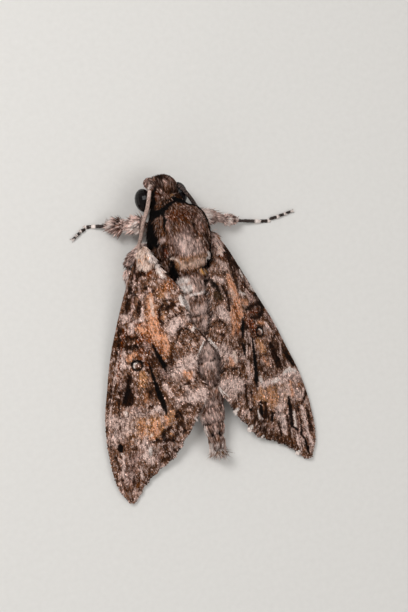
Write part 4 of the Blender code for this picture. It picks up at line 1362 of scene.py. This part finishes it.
def make_coat(skin, name, seed):
    """The tufts of one region of the body, or of the legs."""
    form, front, rear, legs, count = REGIONS[name]
    count = tufts(count)

    def density(points, normals):
        inside = (points[:, 1] > front) & (points[:, 1] <= rear) & (on_leg(points) == legs)
        hidden = smooth(-0.2, -0.8, normals[:, 2])
        tail = smooth(TAIL[0], 46.0, points[:, 1])
        return inside * (1 - 0.6 * hidden) * (1 + 0.7 * crest_share(points) + 1.5 * tail)

    root, normal, _ = roots_on(skin, count, density, seed)
    rng = np.random.default_rng(seed + 1)
    length, width, rise = hair_sizes(root, rng)
    lean = (noise(root, CLUMP, seed + 2) - 0.5) * (LEG_LEAN if legs else LEAN)
    lie = turned(body_lie(root), normal, lean + rng.normal(0, STRAY, count))
    middle = root + lie * (length * 0.5)[:, None]
    kept = on_leg(middle) == legs
    middle = np.where(kept[:, None], middle, root)
    colours = speckled(body_colours(middle, BODY_SEED), middle, rng,
                       pale=0.4, dark=0.42, cluster=0.65)
    side, up = trunk_side(root)
    index, share = nearest_limb(root)
    around = np.arctan2(side, up) / (2 * math.pi) + 0.5
    if legs:
        strips = len(LEG_JOINTS) * 2
        unwrap = np.column_stack(((index + around % 1) / strips, share))
    else:
        low, high = root[:, 1].min(), root[:, 1].max()
        unwrap = np.column_stack((around, (root[:, 1] - low) / (high - low)))
    return lay_tufts(name, form, root, normal, lie, length, width, rise, colours, unwrap)


# ---------------------------------------------------------------- wings
SKIN_INSET = 0.16       # how far the membrane keeps inside the solid's edge, in mm
SKIN_THICKNESS = 0.3
SKIN_UNDER = 0.1
SCALE_RISE = 0.16
APEX_CUT = 0.992        # share of the way to the apex at which the membrane ends
OTHER_SIDE = 40         # what the right wing's seeds are higher by
# A wing's edges are its front, inner and outer one; scales and fringe are numbers of tufts
Wing = collections.namedtuple("Wing", "name fringe_name slot colours seed edges grid drop "
                              "scalloped scales scale_size upper_share fringe")
FORE = Wing(name="forewing", fringe_name="fringe", slot="wing_scales", colours=forewing_colours,
            seed=200, edges=FOREWING, grid=(260, 96), drop=0.0, scalloped=True, scales=33000,
            scale_size=(0.44, 0.23), upper_share=0.88, fringe=2600)
HIND = Wing(name="hindwing", fringe_name="hind_fringe", slot="hindwing_scales",
            colours=hindwing_colours, seed=300, edges=HINDWING, grid=(70, 36), drop=HINDWING_DROP,
            scalloped=False, scales=6000, scale_size=(0.6, 0.3), upper_share=0.6, fringe=900)


def wing_points(wing, along, across, veined=False):
    """Points of a wing's upper side: along from root to apex, across from its front edge."""
    costa, inner, outer = (by_length(edge) for edge in wing.edges)
    front = curve_at(costa, along)
    rear_inner = curve_at(inner, along / INNER_SHARE)
    t = np.clip((along - INNER_SHARE) / (1 - INNER_SHARE), 0.0, 1.0)
    rear = np.where((along < INNER_SHARE)[:, None], rear_inner, curve_at(outer, t))
    span = rear - front
    width = np.linalg.norm(span, axis=1)
    cut = SCALLOP_DEPTH * np.abs(np.sin(math.pi * SCALLOPS * t)) * np.minimum(4 * (1 - t), 1.0)
    cut = np.where(wing.scalloped & (along >= INNER_SHARE), cut, 0.0)
    start = np.minimum(SKIN_INSET / width, 0.3)
    end = 1 - np.minimum((SKIN_INSET + cut) / width, 0.3)
    flat = front + span * (start + (end - start) * across)[:, None]
    ridge, edge = curve_at(WING_HEIGHTS, flat[:, 1]).T
    outwards = np.minimum(flat[:, 0] / costa_x(flat[:, 1]), 1.0)
    z = edge + (ridge - edge) * (1 - outwards ** WING_ARCH)
    z += (FOLD_DEPTH * np.sin(2 * math.pi * FOLDS * across) * np.sin(math.pi * across)
          * np.minimum(along / 0.3, 1.0))
    if veined:
        for vein in VEINS:
            z += VEIN_HEIGHT * nearness(flat, [(*p, VEIN_WIDTH / 2) for p in vein], 0.4)
    return np.column_stack((flat, z - wing.drop - SKIN_UNDER))


def make_wing_skin(name, wing, side):
    """A wing's membrane: a grid laid along the wing and given its thickness."""
    deselect()
    bpy.ops.mesh.primitive_grid_add(x_subdivisions=wing.grid[0], y_subdivisions=wing.grid[1],
                                    size=2.0, calc_uvs=True)
    skin = bpy.context.view_layer.objects.active
    skin.name = name
    grid = coordinates(skin.data)
    along, across = (grid[:, 0] + 1) / 2, (grid[:, 1] + 1) / 2
    points = wing_points(wing, along * APEX_CUT, across, veined=wing.scalloped)
    points[:, 0] *= side
    move_points(skin.data, placed(points))
    if side < 0:
        edited(skin, (bpy.ops.mesh.flip_normals, {}))
    if coordinates(skin.data, normals=True)[:, 2].mean() < 0:
        raise RuntimeError(f"{name} faces down")
    apply_modifier(skin, "SOLIDIFY", thickness=SKIN_THICKNESS * MM, offset=-1.0)
    skin.data.shade_smooth()
    return skin


def wing_unwrap(normal, flat):
    """Upper and lower sides of a wing, one beside the other."""
    return np.column_stack((flat[:, 0] / 2 + 0.5 * (normal[:, 2] < 0), flat[:, 1]))


def make_wing_scales(skin, name, wing, side, colouring, seed):
    """Flat scales shingled over a wing, denser on its upper side."""
    def density(points, normals):
        upper = normals[:, 2] > 0.1
        middle = 1 + 0.4 * smooth(10.0, 20.0, points[:, 1])
        return np.where(upper, wing.upper_share * middle, 1 - wing.upper_share)

    count = tufts(wing.scales)
    root, normal, flat = roots_on(skin, count, density, seed)
    rng = np.random.default_rng(seed + 1)
    slope = wing_lie(out_and_along(root)) * side
    lie = unit(np.column_stack((slope, np.ones(count), np.zeros(count))))
    lie = turned(along_skin(lie, normal), normal, rng.normal(0, STRAY, count))
    spread = rng.normal(1.0, 0.2, (3, count)).clip(0.5, 1.6)
    length, width = wing.scale_size[0] * spread[0], wing.scale_size[1] * spread[1]
    colours = colouring(root + lie * (0.6 * length)[:, None])
    colours = speckled(colours, root, rng, pale=0.3, dark=0.3)
    return lay_tufts(name, SCALE, root, normal, lie, length, width, SCALE_RISE * spread[2],
                     colours, wing_unwrap(normal, flat))


FRINGE_REACH = 0.2      # half width of the white lines on the fringes


def make_fringe(name, wing, side, colouring, seed):
    """Short flat tufts that stick out along a wing's inner and outer margins."""
    rng = np.random.default_rng(seed)
    count = tufts(wing.fringe)
    along = np.sort(rng.random(count)) * 0.96 + 0.03
    edge = wing_points(wing, along, np.full(count, 1.0))
    inside = wing_points(wing, along, np.full(count, 0.96))
    outward = unit(edge - inside) + (0.0, 0.45, 0.0)
    root = edge - unit(edge - inside) * rng.uniform(0.0, 0.25, count)[:, None]
    colours = speckled(colouring(root * (side, 1, 1)), root, rng, pale=0.42, dark=0.36)
    root[:, 2] -= rng.uniform(0.0, SKIN_THICKNESS, count)
    length = rng.normal(0.5, 0.1, count).clip(0.25, 0.8)
    rise = rng.uniform(-0.1, 0.06, count)
    if wing is FORE:
        flat = root[:, :2]
        for fleck in FRINGE_FLECKS[side]:
            white = nearness(flat, [fleck], 0.3)
            colours = laid(colours, ("white", white))
            length *= 1 + 0.7 * white
        for line in MIDLINE_FRINGES[side]:
            white = nearness(flat, [(*p[:2], FRINGE_REACH) for p in line], 0.2)
            colours = laid(colours, ("white", white))
            length *= 1 - 0.5 * white
        # Longer tufts hang down beside the abdomen, before and behind where the wings meet
        hanging = (1 - smooth(23.0, 25.0, root[:, 1])) * smooth(0.0, 0.06, along)
        hanging += smooth(28.4, 29.4, root[:, 1]) * smooth(34.0, 33.0, root[:, 1])
        length *= 1 + 1.1 * hanging
        rise -= rng.uniform(0.1, 0.6, count) * hanging
    mirror = np.array((side, 1, 1))
    normal = np.tile((0.0, 0.0, 1.0), (count, 1))
    lie = turned(unit(outward * mirror), normal, rng.normal(0, 0.18, count))
    unwrap = np.column_stack((along, rng.random(count)))
    return lay_tufts(name, SCALE, root * mirror, normal, lie, length,
                     rng.uniform(0.16, 0.26, count), rise, colours, unwrap)


# Side: (colour, route of the tuft, marks on it), with x outwards
SHOULDERS = {
    1: ("cream", ((7.0, 3.4, 0.9), (7.6, 6.4, 1.2)),
        (("white", (5.8, 8.0, 0.4), (5.8, 9.6, 0.3)), ("white", (6.6, 4.4, 0.3), (6.8, 6.8, 0.3)),
         ("tan", (8.4, 5.8, 0.4)), ("tan", (7.2, 5.4, 0.3)))),
    -1: ("pinkish", ((7.4, 3.6, 0.8), (7.3, 6.6, 0.9)),
         (("cream", (7.3, 6.4, 0.5), (7.4, 7.4, 0.4)), ("tan", (8.0, 4.6, 0.4)))),
}
SHOULDER_TUFTS = 1500
SHOULDER_CLUMP = 0.7
SHOULDER_STREAK = (0.3, 1.0)
SHOULDER_CONTRAST = 1.25


def make_shoulder(skin, name, side, seed):
    """The long pale hair-scales over the root of a forewing."""
    base, route, marks = SHOULDERS[side]

    def density(points, normals):
        flat = out_and_along(points)
        near = [nearness(flat, route, 0.8)] + [nearness(flat, mark, 0.3) for _, *mark in marks]
        return np.max(near, axis=0) * (normals[:, 2] > 0.1) + 1e-9

    count = tufts(SHOULDER_TUFTS)
    root, normal, flat = roots_on(skin, count, density, seed)
    rng = np.random.default_rng(seed + 1)
    lie = unit(np.column_stack((np.full(count, 0.12 * side), np.ones(count), np.zeros(count))))
    lie = turned(along_skin(lie, normal), normal,
                 (noise(root, SHOULDER_CLUMP, seed) - 0.5) * 1.8 + rng.normal(0, 0.12, count))
    colours = painted(plain(base, count), out_and_along(root),
                      [(colour, 0.9, 0.3, *mark) for colour, *mark in marks])
    dim = smooth(0.3, -0.6, streaks(root, lie, *SHOULDER_STREAK, seed + 2))
    colours = contrasted(laid(colours, ("umber", 0.7 * dim)), SHOULDER_CONTRAST)
    colours = speckled(colours, root, rng, pale=0.25, dark=0.3)
    return lay_tufts(name, LOCK, root, normal, lie, rng.uniform(0.9, 1.7, count),
                     rng.uniform(0.16, 0.32, count), rng.uniform(0.15, 0.5, count), colours,
                     wing_unwrap(normal, flat))


def make_wings(wing, membrane, scales):
    """Both wings of a pair: membrane, scales, the forewing's shoulder tufts, and fringe."""
    for word, side in SIDES:
        seed = wing.seed + OTHER_SIDE * (side < 0)

        def colouring(points):
            return wing.colours(points, side, seed)

        skin = make_wing_skin(f"{wing.name}_skin_{word}", wing, side)
        stain(skin, colouring(measured(coordinates(skin.data))) * SKIN_SHADE)
        finish_piece(skin, wing.slot, membrane, f"{wing.name}_{word}")
        name = f"coat_{wing.name}_{word}"
        coats = [make_wing_scales(skin, name, wing, side, colouring, seed + 1)]
        if wing is FORE:
            coats.append(make_shoulder(skin, f"coat_shoulder_{word}", side, seed + 9))
        name = f"coat_{wing.fringe_name}_{word}"
        coats.append(make_fringe(name, wing, side, colouring, seed + 5))
        for coat in coats:
            finish_piece(coat, wing.slot, scales)


# ---------------------------------------------------------------- strung parts
def modelled(name, profile, sides):
    """A closed round part: a cylinder primitive cut into rings of (height, radius)."""
    deselect()
    bpy.ops.mesh.primitive_cylinder_add(vertices=sides, radius=1.0, depth=1.0, end_fill_type="NGON")
    obj = bpy.context.view_layer.objects.active
    obj.name = name
    cuts = [(bpy.ops.mesh.bisect, {"plane_co": (0, 0, height - 0.5), "plane_no": (0, 0, 1)})
            for height, _ in profile[1:-1]]
    edited(obj, *cuts, (bpy.ops.mesh.quads_convert_to_tris, {}))
    points = coordinates(obj.data)
    heights, radii = zip(*profile)
    share = np.interp(points[:, 2] + 0.5, heights, radii)
    points[:, :2] *= share[:, None]
    points[:, 2] += 0.5
    faces = np.array([tuple(face.vertices) for face in obj.data.polygons])
    bpy.data.objects.remove(obj)
    return points, faces


def frames_along(route):
    """Unit tangents, sides and ups of a route's points."""
    tangent = unit(np.gradient(route, axis=0))
    side = unit(np.cross(np.tile((0.0, 0.0, 1.0), (len(route), 1)), tangent))
    return tangent, side, np.cross(tangent, side)


def strung(name, part, route, pitch, radii, colours):
    """Copies of a part laid end to end along a route, one of length pitch at each point."""
    shape, faces = part
    tangent, side, up = frames_along(route)
    pitch = np.broadcast_to(pitch, len(route))
    points = (
        route[:, None] + tangent[:, None] * (pitch[:, None] * shape[None, :, 2])[:, :, None]
        + side[:, None] * (radii[:, None] * shape[None, :, 0])[:, :, None]
        + up[:, None] * (radii[:, None] * shape[None, :, 1])[:, :, None]
    ).reshape(-1, 3)
    press_up(points)
    obj = triangle_mesh(name, points, repeated(faces, len(shape), len(route)))
    stain(obj, colours(points, np.tile(shape[:, 2], len(route))))
    return obj


def around_part(route, pitch, radii, pick, angle, share):
    """Places on the picked pieces of a strung part, with their normals and tangents."""
    tangent, side, up = (v[pick] for v in frames_along(route))
    normal = side * np.cos(angle)[:, None] + up * np.sin(angle)[:, None]
    root = route[pick] + normal * radii[pick][:, None] + tangent * (share * pitch[pick])[:, None]
    return root, normal, tangent


def spread_along(points, shares):
    """Points at shares of a smooth curve's length, but for the last, and the steps between them."""
    route = curve_at(by_length(points), np.linspace(0, 1, 200))
    ends = curve_at(by_length(route), np.asarray(shares))
    return ends[:-1], np.linalg.norm(np.diff(ends, axis=0), axis=1)


ANTENNA_BEADS = 58
ANTENNA_SEED = 80
SHAFT_SHARE = 0.86      # the beads' share of the feeler's radius; the rest is scales
ANTENNA_CILIA = 2600
CILIA_ROOT = 0.92       # share of the radius at which the scales are rooted
WHITE_BEADS = 4         # beads at the root whose scales are white
BEAD = ((0.0, 0.7), (0.25, 0.92), (0.7, 1.0), (1.0, 0.82))     # (height, radius)


def antenna_colours(points, rise):
    """Pale beads that are darker where the joints meet; on the right they are dark brown as painted
    shade.
    """
    shade = 0.75 + 0.4 * noise(points, 0.5, seed=71)
    # the right feeler's beads are dark as painted shade
    colours = np.where(points[:, :1] > 0, hue("feeler"), hue("dark")) * shade[:, None]
    return laid(colours, ("umber", 0.6 * smooth(0.25, 0.0, rise)))


def make_antenna(word, side):
    """A feeler of beads, with short scales that make it look thick and pale."""
    route, pitch = spread_along(np.array(ANTENNAE[word]), np.linspace(0, 1, ANTENNA_BEADS + 1))
    share = np.linspace(0, 1, ANTENNA_BEADS)
    radii = np.interp(share, np.linspace(0, 1, 4), ANTENNA_RADII) * SHAFT_SHARE
    shaft = strung(f"antenna_shaft_{word}", modelled("bead", BEAD, sides=12), route,
                   pitch * 1.05, radii, antenna_colours)
    rng = np.random.default_rng(ANTENNA_SEED + side)
    count = tufts(ANTENNA_CILIA)
    pick = rng.integers(0, ANTENNA_BEADS, count)
    angle = rng.uniform(0, 2 * math.pi, count)
    root, normal, tangent = around_part(route, pitch, radii * CILIA_ROOT, pick, angle,
                                        rng.random(count))
    colours = plain("feeler", count) * rng.normal(1.0, 0.14, count).clip(0.6, 1.4)[:, None]
    # the right feeler's scales are darkened as painted shade
    colours = laid(colours, ("umber", 1 - smooth(-0.6, 0.2, normal[:, 2])),
                   ("white", 0.8 * (pick < WHITE_BEADS)), ("dark", 0.85 * (side < 0)))
    colours = speckled(colours, root, rng, pale=0.42, dark=0.42)
    unwrap = np.column_stack((angle / (2 * math.pi), pick / ANTENNA_BEADS))
    scales = lay_tufts(f"coat_antenna_{word}", SCALE, root, normal, tangent,
                       rng.uniform(0.3, 0.5, count), rng.uniform(0.1, 0.16, count), 0.12,
                       colours, unwrap)
    return shaft, scales


TARSUS_ENDS = (0.0, 0.42, 0.6, 0.75, 0.88, 1.0)
TARSUS_JOINTS = len(TARSUS_ENDS) - 1
TARSUS_SPINES = 420
HORN_SHARE, SPINE_ROOT = 0.9, 0.62      # shares of the foot's radius
TARSUS_LOW = 0.36       # least height of the joints' middle line, in mm
TARSOMERE = ((0.0, 0.55), (0.1, 0.7), (0.7, 0.8), (0.8, 1.0), (1.0, 0.72))
CLAW_LENGTH = 0.9
CLAW_SPREAD = 0.32
CLAW_LOW = 0.06
CLAW_STEPS = 6
CLAW_RADII = (0.12, 0.035)
CLAW_PART = ((0.0, 1.0), (1.0, 0.8))


def tarsus_colours(points, rise):
    """Dark horn with a white ring at the end of each joint."""
    dark = plain("dark", len(points)) * (0.7 + 0.6 * noise(points, 0.3, seed=91))[:, None]
    return laid(dark, ("white", 0.85 * smooth(0.7, 0.8, rise)))


def claw_colours(points, rise):
    """Reddish brown horn."""
    return plain("russet", len(points)) * 0.6


def make_foot(name, joints):
    """Five joints, each wider at its end, a pair of claws, and fine dark spines."""
    ankle, first = np.array(joints[2]), np.array(joints[3])
    start = ankle + unit(first - ankle) * 0.3
    route, pitch = spread_along(np.vstack((start, joints[3:])), TARSUS_ENDS)
    ends = np.vstack((route, np.array(joints[-1])[None]))
    radii = np.interp(np.linspace(0, 1, TARSUS_JOINTS), (0, 0.5, 1), TARSUS_RADII)
    route[:, 2] = np.maximum(route[:, 2], TARSUS_LOW)
    foot = strung(f"tarsus_joints_{name}", modelled("tarsomere", TARSOMERE, sides=10), route,
                  pitch * 1.02, radii * HORN_SHARE, tarsus_colours)
    tip, back = ends[-1], unit(ends[-1] - ends[-2])
    rng = np.random.default_rng(sum(map(ord, name)))
    sideways = np.cross((0, 0, 1), back)
    claws = []
    for hand in (1, -1):
        steps = np.linspace(0, 1, CLAW_STEPS)
        line = (tip - back * 0.35 + back * (steps * CLAW_LENGTH)[:, None] * 0.8
                + sideways * (hand * CLAW_SPREAD * steps)[:, None]
                + np.array((0, 0, 1.0)) * (0.16 * np.sin(math.pi * steps) - 0.2 * steps)[:, None])
        line[:, 2] = np.maximum(line[:, 2], CLAW_LOW)
        gap = np.linalg.norm(line[1] - line[0])
        claws.append(strung("claw", modelled("claw_part", CLAW_PART, sides=6), line, gap * 1.3,
                            np.linspace(*CLAW_RADII, CLAW_STEPS), claw_colours))
    count = tufts(TARSUS_SPINES)
    pick = rng.integers(0, TARSUS_JOINTS, count)
    angle = rng.uniform(-0.4, math.pi + 0.4, count)
    share = rng.random(count)
    root, normal, tangent = around_part(route, pitch, radii * SPINE_ROOT, pick, angle, share)
    colours = tarsus_colours(root, share) * rng.normal(1, 0.2, count).clip(0.5, 1.5)[:, None]
    spines = lay_tufts(f"coat_tarsus_{name}", LOCK, root, normal, tangent,
                       rng.uniform(0.3, 0.6, count), 0.1, 0.3, colours,
                       np.column_stack(((pick + share) / TARSUS_JOINTS, (angle + 0.4) / 4.0)))
    activate(foot)
    for piece in claws:
        piece.select_set(True)
    bpy.ops.object.join()
    return foot, spines


# ---------------------------------------------------------------- what a user may change
def swatch(label, code, use):
    """A colour setting with a default written as six hex digits."""
    return bpy.props.FloatVectorProperty(name=label, description=use, subtype="COLOR", size=3,
                                         min=0.0, max=1.0, default=srgb(code))


class MothColours(bpy.types.PropertyGroup):
    """Colours of the scales and hair."""

    ground: swatch("Ground", "7b6256", "Grey-brown between the wing's marks")
    pinkish: swatch("Pinkish Grey", "cdb4ab", "Pale scales of the wings and legs")
    lilac: swatch("Lilac Grey", "9a827b", "Cool grey scales of the costa and back")
    umber: swatch("Umber", "573e31", "Brown of the thorax and wing patches")
    russet: swatch("Russet", "704636", "Reddish brown patches")
    dark: swatch("Dark Brown", "2a1a13", "Dark marks and the feet")
    black: swatch("Black", "080606", "Dashes of the wings and bands of the thorax")
    tan: swatch("Tan", "ad8468", "Dull orange patches")
    orange: swatch("Orange", "c9967a", "Bright streak of the forewing")
    gold: swatch("Gold", "d4a068", "Bright hairs beside the crests")
    cream: swatch("Cream", "fbe0d0", "Shoulder tufts")
    feeler: swatch("Feeler", "b89c90", "Scales of the feelers")
    white: swatch("White", "fdeee6", "Flecks of the fringe and the abdomen's spots")
    olive: swatch("Olive Brown", "463a30", "Dull patches of the abdomen")
    ochre: swatch("Ochre", "84603e", "Sides of the abdomen")


class MothSizes(bpy.types.PropertyGroup):
    """Sizes and amounts of the coat, the lights and the camera."""

    tuft_share: bpy.props.FloatProperty(
        name="Tuft Share", description="Share of the full number of tufts that is laid",
        default=1.0, min=0.05, max=1.0, subtype="FACTOR")
    voxel: bpy.props.FloatProperty(
        name="Skin Voxel", description="Size of the skin's faces", default=0.33 * MM,
        min=0.1 * MM, max=1 * MM, precision=5, unit="LENGTH")
    floor_width: bpy.props.FloatProperty(
        name="Floor Width", description="Width of the floor", default=3.0, min=0.2, unit="LENGTH")
    camera_distance: bpy.props.FloatProperty(
        name="Camera Distance", description="From the camera to the moth's middle",
        default=0.349, min=0.05, unit="LENGTH")
    camera_lean: bpy.props.FloatProperty(
        name="Camera Lean", description="How far the camera looks from the moth's left",
        default=math.radians(17.5), subtype="ANGLE", unit="ROTATION")
    camera_roll: bpy.props.FloatProperty(
        name="Camera Roll", description="How far the moth's length is turned in the picture",
        default=math.radians(12.5), subtype="ANGLE", unit="ROTATION")
    key_power: bpy.props.FloatProperty(
        name="Key Light", description="Power of the main light", default=0.957, min=0.0,
        unit="POWER")
    fill_power: bpy.props.FloatProperty(
        name="Fill Light", description="Power of the two fill lights", default=0.35, min=0.0,
        unit="POWER")
    sky: bpy.props.FloatProperty(
        name="Surround", description="Brightness of the even light all round", default=0.45,
        min=0.0)


def hue(name):
    """A colour of the moth as linear red, green and blue."""
    return tuple(getattr(bpy.context.scene.moth_colours, name))


def tufts(count):
    """How many of a full number of tufts are laid."""
    return max(int(count * bpy.context.scene.moth_sizes.tuft_share), 10)


# ---------------------------------------------------------------- operators
CAMERA_TARGET = (-4.0, 18.05, 1.52)
LENS, SENSOR = 100.0, 36.0      # in mm
CLIP = (0.01, 20.0)
LIGHTS = (
    # name, distance, (backward, upward, across) as the camera sees it, width, power setting
    ("key_light", 0.42, (1.0, 0.42, -0.34), 0.16, "key_power"),
    ("fill_light", 0.45, (0.8, -0.2, 0.7), 0.3, "fill_power"),
    ("rear_light", 0.5, (0.6, -0.9, -0.3), 0.3, "fill_power"),
)
SURROUND = (1.0, 0.985, 0.96, 1.0)


def area_light(name, place, aim, size, power):
    """A round lamp at a place, turned to its aim."""
    light = bpy.data.lights.new(name, "AREA")
    light.shape = "DISK"
    light.size = size
    light.energy = power
    obj = linked(name, light)
    obj.location = place
    obj.rotation_euler = (Vector(place) - Vector(aim)).to_track_quat("Z", "Y").to_euler()


class MOTH_OT_stage(bpy.types.Operator):
    """Set the camera, a pale floor and soft studio lights"""

    bl_idname = "moth.stage"
    bl_label = "Stage"

    def execute(self, context):
        sizes = context.scene.moth_sizes
        lean, roll = sizes.camera_lean, sizes.camera_roll
        rearward = Vector((0, 1, 0))
        rightward = Vector((-math.cos(lean), 0, math.sin(lean)))
        across = rearward * math.sin(roll) + rightward * math.cos(roll)
        up = rearward * -math.cos(roll) + rightward * math.sin(roll)
        back = Vector((math.sin(lean), 0, math.cos(lean)))
        target = Vector(placed(CAMERA_TARGET))

        data = bpy.data.cameras.new("camera")
        data.lens = LENS
        data.sensor_fit = "VERTICAL"
        data.sensor_height = SENSOR
        data.clip_start, data.clip_end = CLIP
        camera = linked("camera", data)
        camera.matrix_world = Matrix.Translation(target + back * sizes.camera_distance) @ Matrix(
            (across, up, back)).transposed().to_4x4()
        context.scene.camera = camera

        for name, away, (b, u, a), width, power in LIGHTS:
            place = target + away * (back * b + up * u + across * a).normalized()
            area_light(name, place, target, width, getattr(sizes, power))
        world = bpy.data.worlds.new("surround")
        world.use_nodes = True
        background = world.node_tree.nodes["Background"]
        background.inputs["Color"].default_value = SURROUND
        background.inputs["Strength"].default_value = sizes.sky
        context.scene.world = world
        context.scene.view_settings.view_transform = "Standard"

        deselect()
        bpy.ops.mesh.primitive_plane_add(size=sizes.floor_width)
        floor = context.view_layer.objects.active
        floor.name = "floor"
        floor.data.materials.append(floor_finish())
        return {"FINISHED"}


class MOTH_OT_body_skin(bpy.types.Operator):
    """Join the flesh solids into one skin that lies under the coat"""

    bl_idname = "moth.body_skin"
    bl_label = "Body Skin"

    def execute(self, context):
        finish = coat_finish("body_skin", speckle=0.4, roughness=0.8, gloss=0.08, bump=0.00006)
        finish_piece(make_body_skin(), "body_fur", finish, *FLESH)
        return {"FINISHED"}


class MOTH_OT_body_coat(bpy.types.Operator):
    """Lay the hair-scales of the head, thorax, abdomen and legs"""

    bl_idname = "moth.body_coat"
    bl_label = "Body Coat"

    def execute(self, context):
        skin = bpy.data.objects["body_skin"]
        fur = coat_finish("body_hair", speckle=0.35, roughness=0.62, gloss=0.1)
        for seed, name in enumerate(REGIONS):
            coat = make_coat(skin, name, COAT_SEED + 10 * seed)
            finish_piece(coat, "leg_fur" if name == "coat_legs" else "body_fur", fur)
        return {"FINISHED"}


class MOTH_OT_forewings(bpy.types.Operator):
    """Make the forewings' membranes, scales and fringes"""

    bl_idname = "moth.forewings"
    bl_label = "Forewings"

    def execute(self, context):
        make_wings(FORE, coat_finish("forewing_membrane", speckle=0.4, roughness=0.8, gloss=0.08,
                                     bump=0.00005),
                   coat_finish("forewing_scales", speckle=0.35, roughness=0.62, gloss=0.08))
        return {"FINISHED"}


class MOTH_OT_hindwings(bpy.types.Operator):
    """Make the hindwings that lie under the forewings"""

    bl_idname = "moth.hindwings"
    bl_label = "Hindwings"

    def execute(self, context):
        finish = coat_finish("hindwing_scales", speckle=0.35, roughness=0.65, gloss=0.1)
        make_wings(HIND, finish, finish)
        return {"FINISHED"}


class MOTH_OT_eyes(bpy.types.Operator):
    """Give the eyes their glossy faceted surface"""

    bl_idname = "moth.eyes"
    bl_label = "Eyes"

    def execute(self, context):
        gloss = eye_finish()
        for word, _ in SIDES:
            dress(frame["nodes"][f"eye_{word}"], gloss)
        return {"FINISHED"}


class MOTH_OT_feelers(bpy.types.Operator):
    """String the feelers' beads and lay their pale scales"""

    bl_idname = "moth.feelers"
    bl_label = "Feelers"

    def execute(self, context):
        horn = horn_finish("feeler_horn", gloss=0.4, roughness=0.5)
        scales = coat_finish("feeler_scales", speckle=0.3, roughness=0.6, gloss=0.12)
        for word, side in SIDES:
            shaft, coat = make_antenna(word, side)
            finish_piece(shaft, "feeler", horn, f"antenna_{word}")
            finish_piece(coat, "feeler", scales)
        return {"FINISHED"}


class MOTH_OT_feet(bpy.types.Operator):
    """Make the jointed feet with their claws and spines"""

    bl_idname = "moth.feet"
    bl_label = "Feet"

    def execute(self, context):
        horn = horn_finish("foot_horn", gloss=0.5, roughness=0.35)
        spine = coat_finish("foot_spines", speckle=0.3, roughness=0.5, gloss=0.4)
        for name, joints in LEG_JOINTS.items():
            foot, spines = make_foot(name, joints)
            finish_piece(foot, "foot", horn, f"tarsus_{name}")
            finish_piece(spines, "foot", spine)
        return {"FINISHED"}


class MOTH_OT_tongue(bpy.types.Operator):
    """Give the coiled tongue its ringed horn"""

    bl_idname = "moth.tongue"
    bl_label = "Tongue"

    def execute(self, context):
        dress(frame["nodes"]["proboscis"], tongue_finish())
        return {"FINISHED"}


OPERATORS = (MOTH_OT_stage, MOTH_OT_body_skin, MOTH_OT_body_coat, MOTH_OT_forewings,
             MOTH_OT_hindwings, MOTH_OT_eyes, MOTH_OT_feelers, MOTH_OT_feet, MOTH_OT_tongue)


class MOTH_PT_build(bpy.types.Panel):
    """Lists the steps in the order in which they are run"""

    bl_idname = "MOTH_PT_build"
    bl_label = "Hawk Moth"
    bl_space_type = "VIEW_3D"
    bl_region_type = "UI"
    bl_category = "Moth"

    def draw(self, context):
        for step in OPERATORS:
            self.layout.operator(step.bl_idname)
        for group in (context.scene.moth_sizes, context.scene.moth_colours):
            for name in group.__annotations__:
                self.layout.prop(group, name)


CLASSES = (MothColours, MothSizes, *OPERATORS, MOTH_PT_build)


def register():
    for cls in CLASSES:
        bpy.utils.register_class(cls)
    bpy.types.Scene.moth_colours = bpy.props.PointerProperty(type=MothColours)
    bpy.types.Scene.moth_sizes = bpy.props.PointerProperty(type=MothSizes)


def unregister():
    del bpy.types.Scene.moth_sizes
    del bpy.types.Scene.moth_colours
    for cls in reversed(CLASSES):
        bpy.utils.unregister_class(cls)


def main():
    register()
    for step in ("stage", "body_skin", "body_coat", "forewings", "hindwings", "eyes", "feelers",
                 "feet", "tongue"):
        getattr(bpy.ops.moth, step)()
    bpy.context.view_layer.update()


if __name__ == "__main__":
    main()
